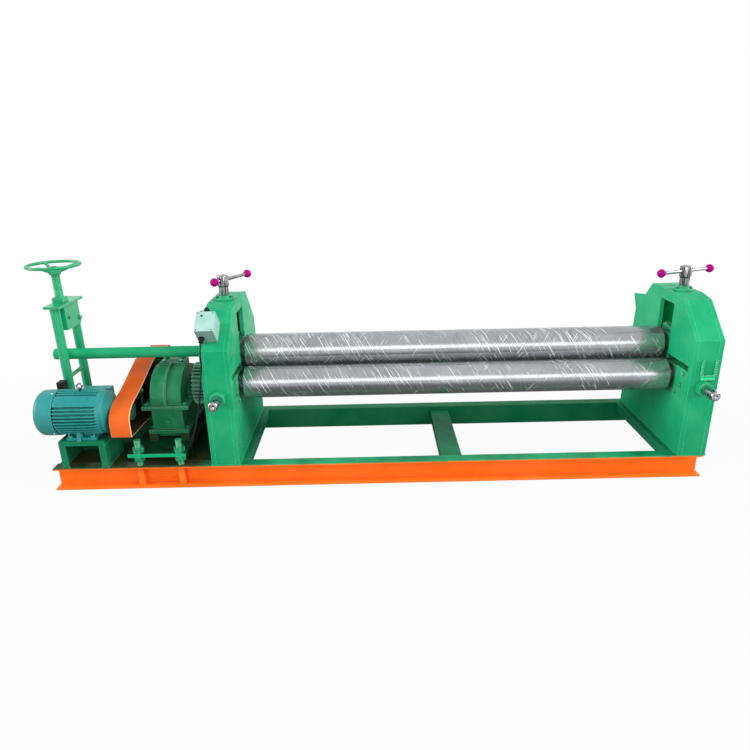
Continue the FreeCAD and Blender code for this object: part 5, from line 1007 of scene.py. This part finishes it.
def motor_feet():
    """The web between the motor's feet, and the ribs that stand on it."""
    web = slab([(MOTOR_Y - 0.086, 0.249), (MOTOR_Y + 0.086, 0.249), (MOTOR_Y + 0.086, 0.263),
                (MOTOR_Y + 0.060, 0.268), (MOTOR_Y + 0.056, 0.300), (MOTOR_Y - 0.056, 0.300),
                (MOTOR_Y - 0.060, 0.268), (MOTOR_Y - 0.086, 0.263)], (-1.820, -1.680))
    ribs = [slab([(MOTOR_Y + way * 0.056, 0.262), (MOTOR_Y + way * 0.082, 0.262),
                  (MOTOR_Y + way * 0.070, 0.300), (MOTOR_Y + way * 0.060, 0.306)], (place, place + 0.008))
            for place in (-1.812, -1.754, -1.696) for way in (-1, 1)]
    ribs.append(slab([(MOTOR_Y - 0.095, 0.2495), (MOTOR_Y - 0.087, 0.2495), (MOTOR_Y - 0.072, 0.296),
                      (MOTOR_Y - 0.080, 0.296)], (-1.768, -1.750)))
    return web, joined(*ribs)


def fan_cowl():
    """The sheet cowl over the motor's fan, with rings of wire and spokes over its mouth."""
    tip = -1.949
    outside = [(tip, 0.062), (tip, 0.085), (tip + 0.006, 0.098), (tip + 0.020, 0.1070), (tip + 0.034, 0.108),
               (MOTOR_LEFT, 0.108), (MOTOR_LEFT, 0.1055), (tip + 0.034, 0.1055), (tip + 0.021, 0.1045),
               (tip + 0.008, 0.096), (tip + 0.0025, 0.084), (tip + 0.0025, 0.062)]
    parts = [turned(np.vstack([softened(outside, 0.004, 4), outside[:1]]), MOTOR_AXIS, ALONG, 96),
             turned(rod(tip, tip + 0.003, 0.012), MOTOR_AXIS, ALONG, 32)]
    middle = np.array([tip + 0.0015, MOTOR_Y, MOTOR_Z])
    parts += [ring(middle, ALONG, radius=0.0185 + 0.0085 * number, wide=0.0022, high=0.0014, around=72,
                   across=8) for number in range(6)]
    for number in range(8):
        angle = math.pi * number / 4 + 0.2
        way = np.array([0, math.cos(angle), math.sin(angle)])
        parts.append(tube(middle + way * np.linspace(0.008, 0.066, 6)[:, None], 0.0016, ALONG, 8))
    return joined(*parts)


def small_heads(places, ways, profile, ease, segments):
    """The heads of small screws, each turned round its own axis."""
    profile = softened(profile, ease, 3)
    return joined(*(turned(profile, place, way, segments) for place, way in zip(places, ways)))


class ROLLER_OT_motor(StepOperator, bpy.types.Operator):
    """Shape the motor's finned body, feet, end shield and fan cowl"""

    bl_idname = "roller.motor"
    bl_label = "Motor"

    def execute(self, context):
        teal = coats()["teal"]
        body = motor_body(context.scene.plate_roller_sizes.fin_count)
        piece("motor_body_finned", body, FRAME, teal, ("motor_body",), sharp=55)
        web, ribs = motor_feet()
        piece("motor_feet_cast", web, FRAME, teal, edge=0.003)
        piece("motor_foot_ribs", ribs, FRAME, teal, edge=0.0015)
        right = MOTOR_RIGHT
        shield = softened([(right, 0.014), (right, 0.1005), (right + 0.010, 0.1005), (right + 0.015, 0.088),
                           (right + 0.026, 0.055), (right + 0.033, 0.046), (right + 0.033, 0.014)], 0.003, 5)
        shield = turned(np.vstack([shield, shield[:1]]), MOTOR_AXIS, ALONG, 96)
        piece("motor_end_shield_cast", shield, FRAME, teal, ("motor_end_shield",))
        piece("motor_fan_cowl", fan_cowl(), FRAME, teal, ("motor_fan_cover",), sharp=50)
        angles = np.radians([-135, -15, 105])
        ways = 0.1075 * np.stack([0 * angles, np.cos(angles), np.sin(angles)], 1)
        heads = small_heads(np.array([-1.872, MOTOR_Y, MOTOR_Z]) + ways, ways, [
            (-0.001, 0), (-0.001, 0.0055), (0.002, 0.0050), (0.003, 0.003), (0.003, 0)], 0.001, 20)
        piece("motor_cowl_screws", heads, FRAME, coats()["zinc"])
        return {"FINISHED"}


class ROLLER_OT_guard(StepOperator, bpy.types.Operator):
    """Fold the belt guard's sheet and mark the faces inside it"""

    bl_idname = "roller.guard"
    bl_label = "Belt guard"

    def execute(self, context):
        sheet = 0.003
        corners = np.array([
            (0.003, 0.267), (0.690, 0.245), (0.690, 0.500), (0.660, 0.512), (0.414, 0.512), (0.193, 0.437),
            (0.066, 0.407), (0.030, 0.386), (0.011, 0.364), (0.003, 0.338)])
        corners[:, 0] += BASE_FRONT
        # Each inner corner: corner + sheet·(n1 + n2) / (1 + n1·n2), for the normals n1 and n2 of its sides
        ahead = np.roll(corners, -1, axis=0) - corners
        normals = np.stack([-ahead[:, 1], ahead[:, 0]], 1) / np.linalg.norm(ahead, axis=1)[:, None]
        before = np.roll(normals, 1, axis=0)
        within = corners + sheet * (normals + before) / (1 + (normals * before).sum(1))[:, None]
        rows = [(GUARD_LEFT, corners), (GUARD_MOUTH, corners), (GUARD_MOUTH, within),
                (GUARD_LEFT + sheet, within)]
        points = np.concatenate([np.insert(outline, 0, x, axis=1) for x, outline in rows])
        count = len(corners)
        faces = quads(4, count, wrap_columns=True).tolist()
        faces += [list(range(count)), list(range(4 * count - 1, 3 * count - 1, -1))]
        guard = piece("belt_guard_folded", (points, faces), FRAME, coats()["orange"],
                      ("belt_guard",), edge=0.0012)
        centres = np.empty(3 * len(guard.data.polygons))
        ways = np.empty(3 * len(guard.data.polygons))
        guard.data.polygons.foreach_get("center", centres)
        guard.data.polygons.foreach_get("normal", ways)
        # Faces that look into the guard get the dark inside colour of the orange finish: painted shade.
        middle = np.array([-1.559, 0.32, 0.36])
        inwards = middle - centres.reshape(-1, 3)
        shaded_inside = (inwards * ways.reshape(-1, 3)).sum(1) > 0
        inside = guard.data.attributes.new("inside", "FLOAT", "FACE")
        inside.data.foreach_set("value", shaded_inside.astype(np.float32))
        return {"FINISHED"}


class ROLLER_OT_studs(StepOperator, bpy.types.Operator):
    """Cut the threads of the four adjusting studs"""

    bl_idname = "roller.studs"
    bl_label = "Adjusting studs"

    def execute(self, context):
        pitch = context.scene.plate_roller_sizes.stud_pitch
        studs = [threaded((x, y, 0.103), UP, length=0.138, radius=0.015, depth=0.0018, pitch=pitch,
                          segments=32) for x in (-1.503, -1.311) for y in (-0.001, 0.661)]
        piece("support_studs_threaded", joined(*studs), FRAME, coats()["plated"], ("support_studs",))
        return {"FINISHED"}


def beads(name, seams, width, first_seed, coat):
    """One piece of all the beads along some seams, each with a seed of its own."""
    made = [weld_bead(start, end, width, first_seed + number) for number, (start, end) in enumerate(seams)]
    piece(name, joined(*made), FRAME, coats()[coat], sharp=80)


class ROLLER_OT_welds(StepOperator, bpy.types.Operator):
    """Lay the weld beads along the seams of the frame"""

    bl_idname = "roller.welds"
    bl_label = "Weld beads"

    def execute(self, context):
        width = context.scene.plate_roller_sizes.bead_width
        front, rear = BASE_FRONT + 0.005, 0.671
        seams = []
        for side in (-1, 1):
            near, far = side * 1.030, side * OUTER_X
            a, b, c, d = ((x, y, DECK_Z) for x in (near, far) for y in (front, rear))
            seams += [(a, b), (c, d), (a, c), (b, d)]
        beads("housing_weld_beads", seams, width, 0, "green")
        ledge = [((x, -0.026, 0.508), (x, -0.026, 0.583)) for x in (1.078, 1.138)]
        ledge += [((1.078, -0.027, 0.490), (1.138, -0.027, 0.490)),
                  ((1.080, -0.027, 0.508), (1.136, -0.027, 0.508))]
        beads("ledge_weld_beads", ledge, width * 1.7, 40, "bead green")
        stand_left, stand_right, foot, post_radius = MOTOR_LEFT, -1.646, 0.028, 0.0215
        stand = []
        for x in (stand_left, stand_right):
            stand += [((x, -0.025, DECK_Z), (x, 0.170, DECK_Z)), ((x, -0.025, 0.227), (x, 0.171, 0.227))]
        stand += [((x, -0.025, DECK_Z), (x, -0.016, DECK_Z)) for x in (stand_left + foot, stand_right - foot)]
        for y in (0.215, 0.391):
            rim = [(TAIL_X + post_radius * math.cos(a), y + post_radius * math.sin(a), DECK_Z)
                   for a in np.linspace(0, 2 * math.pi, 9)]
            stand += zip(rim, rim[1:])
        beads("drive_weld_beads", stand, width * 0.8, 60, "green")
        return {"FINISHED"}


class ROLLER_OT_box(StepOperator, bpy.types.Operator):
    """Fit the screws and the dot on the control box, and the plug above it"""

    bl_idname = "roller.box"
    bl_label = "Control box details"

    def execute(self, context):
        climb = np.array([0, 0.7340994, 0.6790420])
        off = np.array([0, -0.6790420, 0.7340994])
        foot = np.array([0, BASE_FRONT + 0.005, 0.672])
        lid = 0.096

        def on_slope(x, up, high):
            """The place at X, some way up the slope and some height off it."""
            return foot + climb * up + off * high + np.array([x, 0, 0])

        places = [on_slope(x, up, lid) for x in (-1.152, -1.086) for up in (0.053, 0.139)]
        heads = small_heads(places, [off] * 4, [
            (0, 0), (0, 0.0035), (0.0012, 0.0032), (0.002, 0.0018), (0.002, 0)], 0.0006, 18)
        piece("control_box_screws", heads, FRAME, coats()["eye"])
        dot = turned(softened([(0, 0), (0, 0.0050), (0.0015, 0.0048), (0.0028, 0.003), (0.003, 0)], 0.001, 4),
                     on_slope(-1.135, 0.124, lid), off, 24)
        piece("control_box_dot", dot, FRAME, coats()["black"])
        plug = turned(softened([(0, 0), (0, 0.012), (0.020, 0.012), (0.024, 0.0095), (0.024, 0)], 0.001, 3),
                      on_slope(-1.141, 0.206, 0.0), off, 32)
        piece("slope_cable_plug", plug, FRAME, coats()["black"])
        return {"FINISHED"}


STEPS = (
    ROLLER_OT_camera, ROLLER_OT_cable, ROLLER_OT_coats, ROLLER_OT_rolls, ROLLER_OT_press_screws,
    ROLLER_OT_front_screws, ROLLER_OT_handwheel, ROLLER_OT_motor, ROLLER_OT_guard, ROLLER_OT_studs,
    ROLLER_OT_welds, ROLLER_OT_box, ROLLER_OT_stage,
)


class ROLLER_PT_panel(bpy.types.Panel):
    """The steps of dressing the machine, with its sizes and colours"""

    bl_label = "Plate roller"
    bl_idname = "ROLLER_PT_panel"
    bl_space_type = "VIEW_3D"
    bl_region_type = "UI"
    bl_category = "Plate roller"

    def draw(self, context):
        for group in (context.scene.plate_roller_sizes, context.scene.plate_roller_colours):
            for name in group.bl_rna.properties.keys():
                if name not in ("rna_type", "name"):
                    self.layout.prop(group, name)
        for step in STEPS:
            self.layout.operator(step.bl_idname)


CLASSES = (MachineSizes, MachineColours, *STEPS, ROLLER_PT_panel)


def register():
    """Tells Blender about the add-on's sizes, colours, steps and panel."""
    for kind in CLASSES:
        bpy.utils.register_class(kind)
    bpy.types.Scene.plate_roller_sizes = bpy.props.PointerProperty(type=MachineSizes)
    bpy.types.Scene.plate_roller_colours = bpy.props.PointerProperty(type=MachineColours)


def unregister():
    """Takes back all that register added."""
    del bpy.types.Scene.plate_roller_colours
    del bpy.types.Scene.plate_roller_sizes
    for kind in reversed(CLASSES):
        bpy.utils.unregister_class(kind)


def main():
    """Runs every step in turn."""
    register()
    for step in STEPS:
        group, name = step.bl_idname.split(".")
        getattr(getattr(bpy.ops, group), name)()


if __name__ == "__main__":
    main()
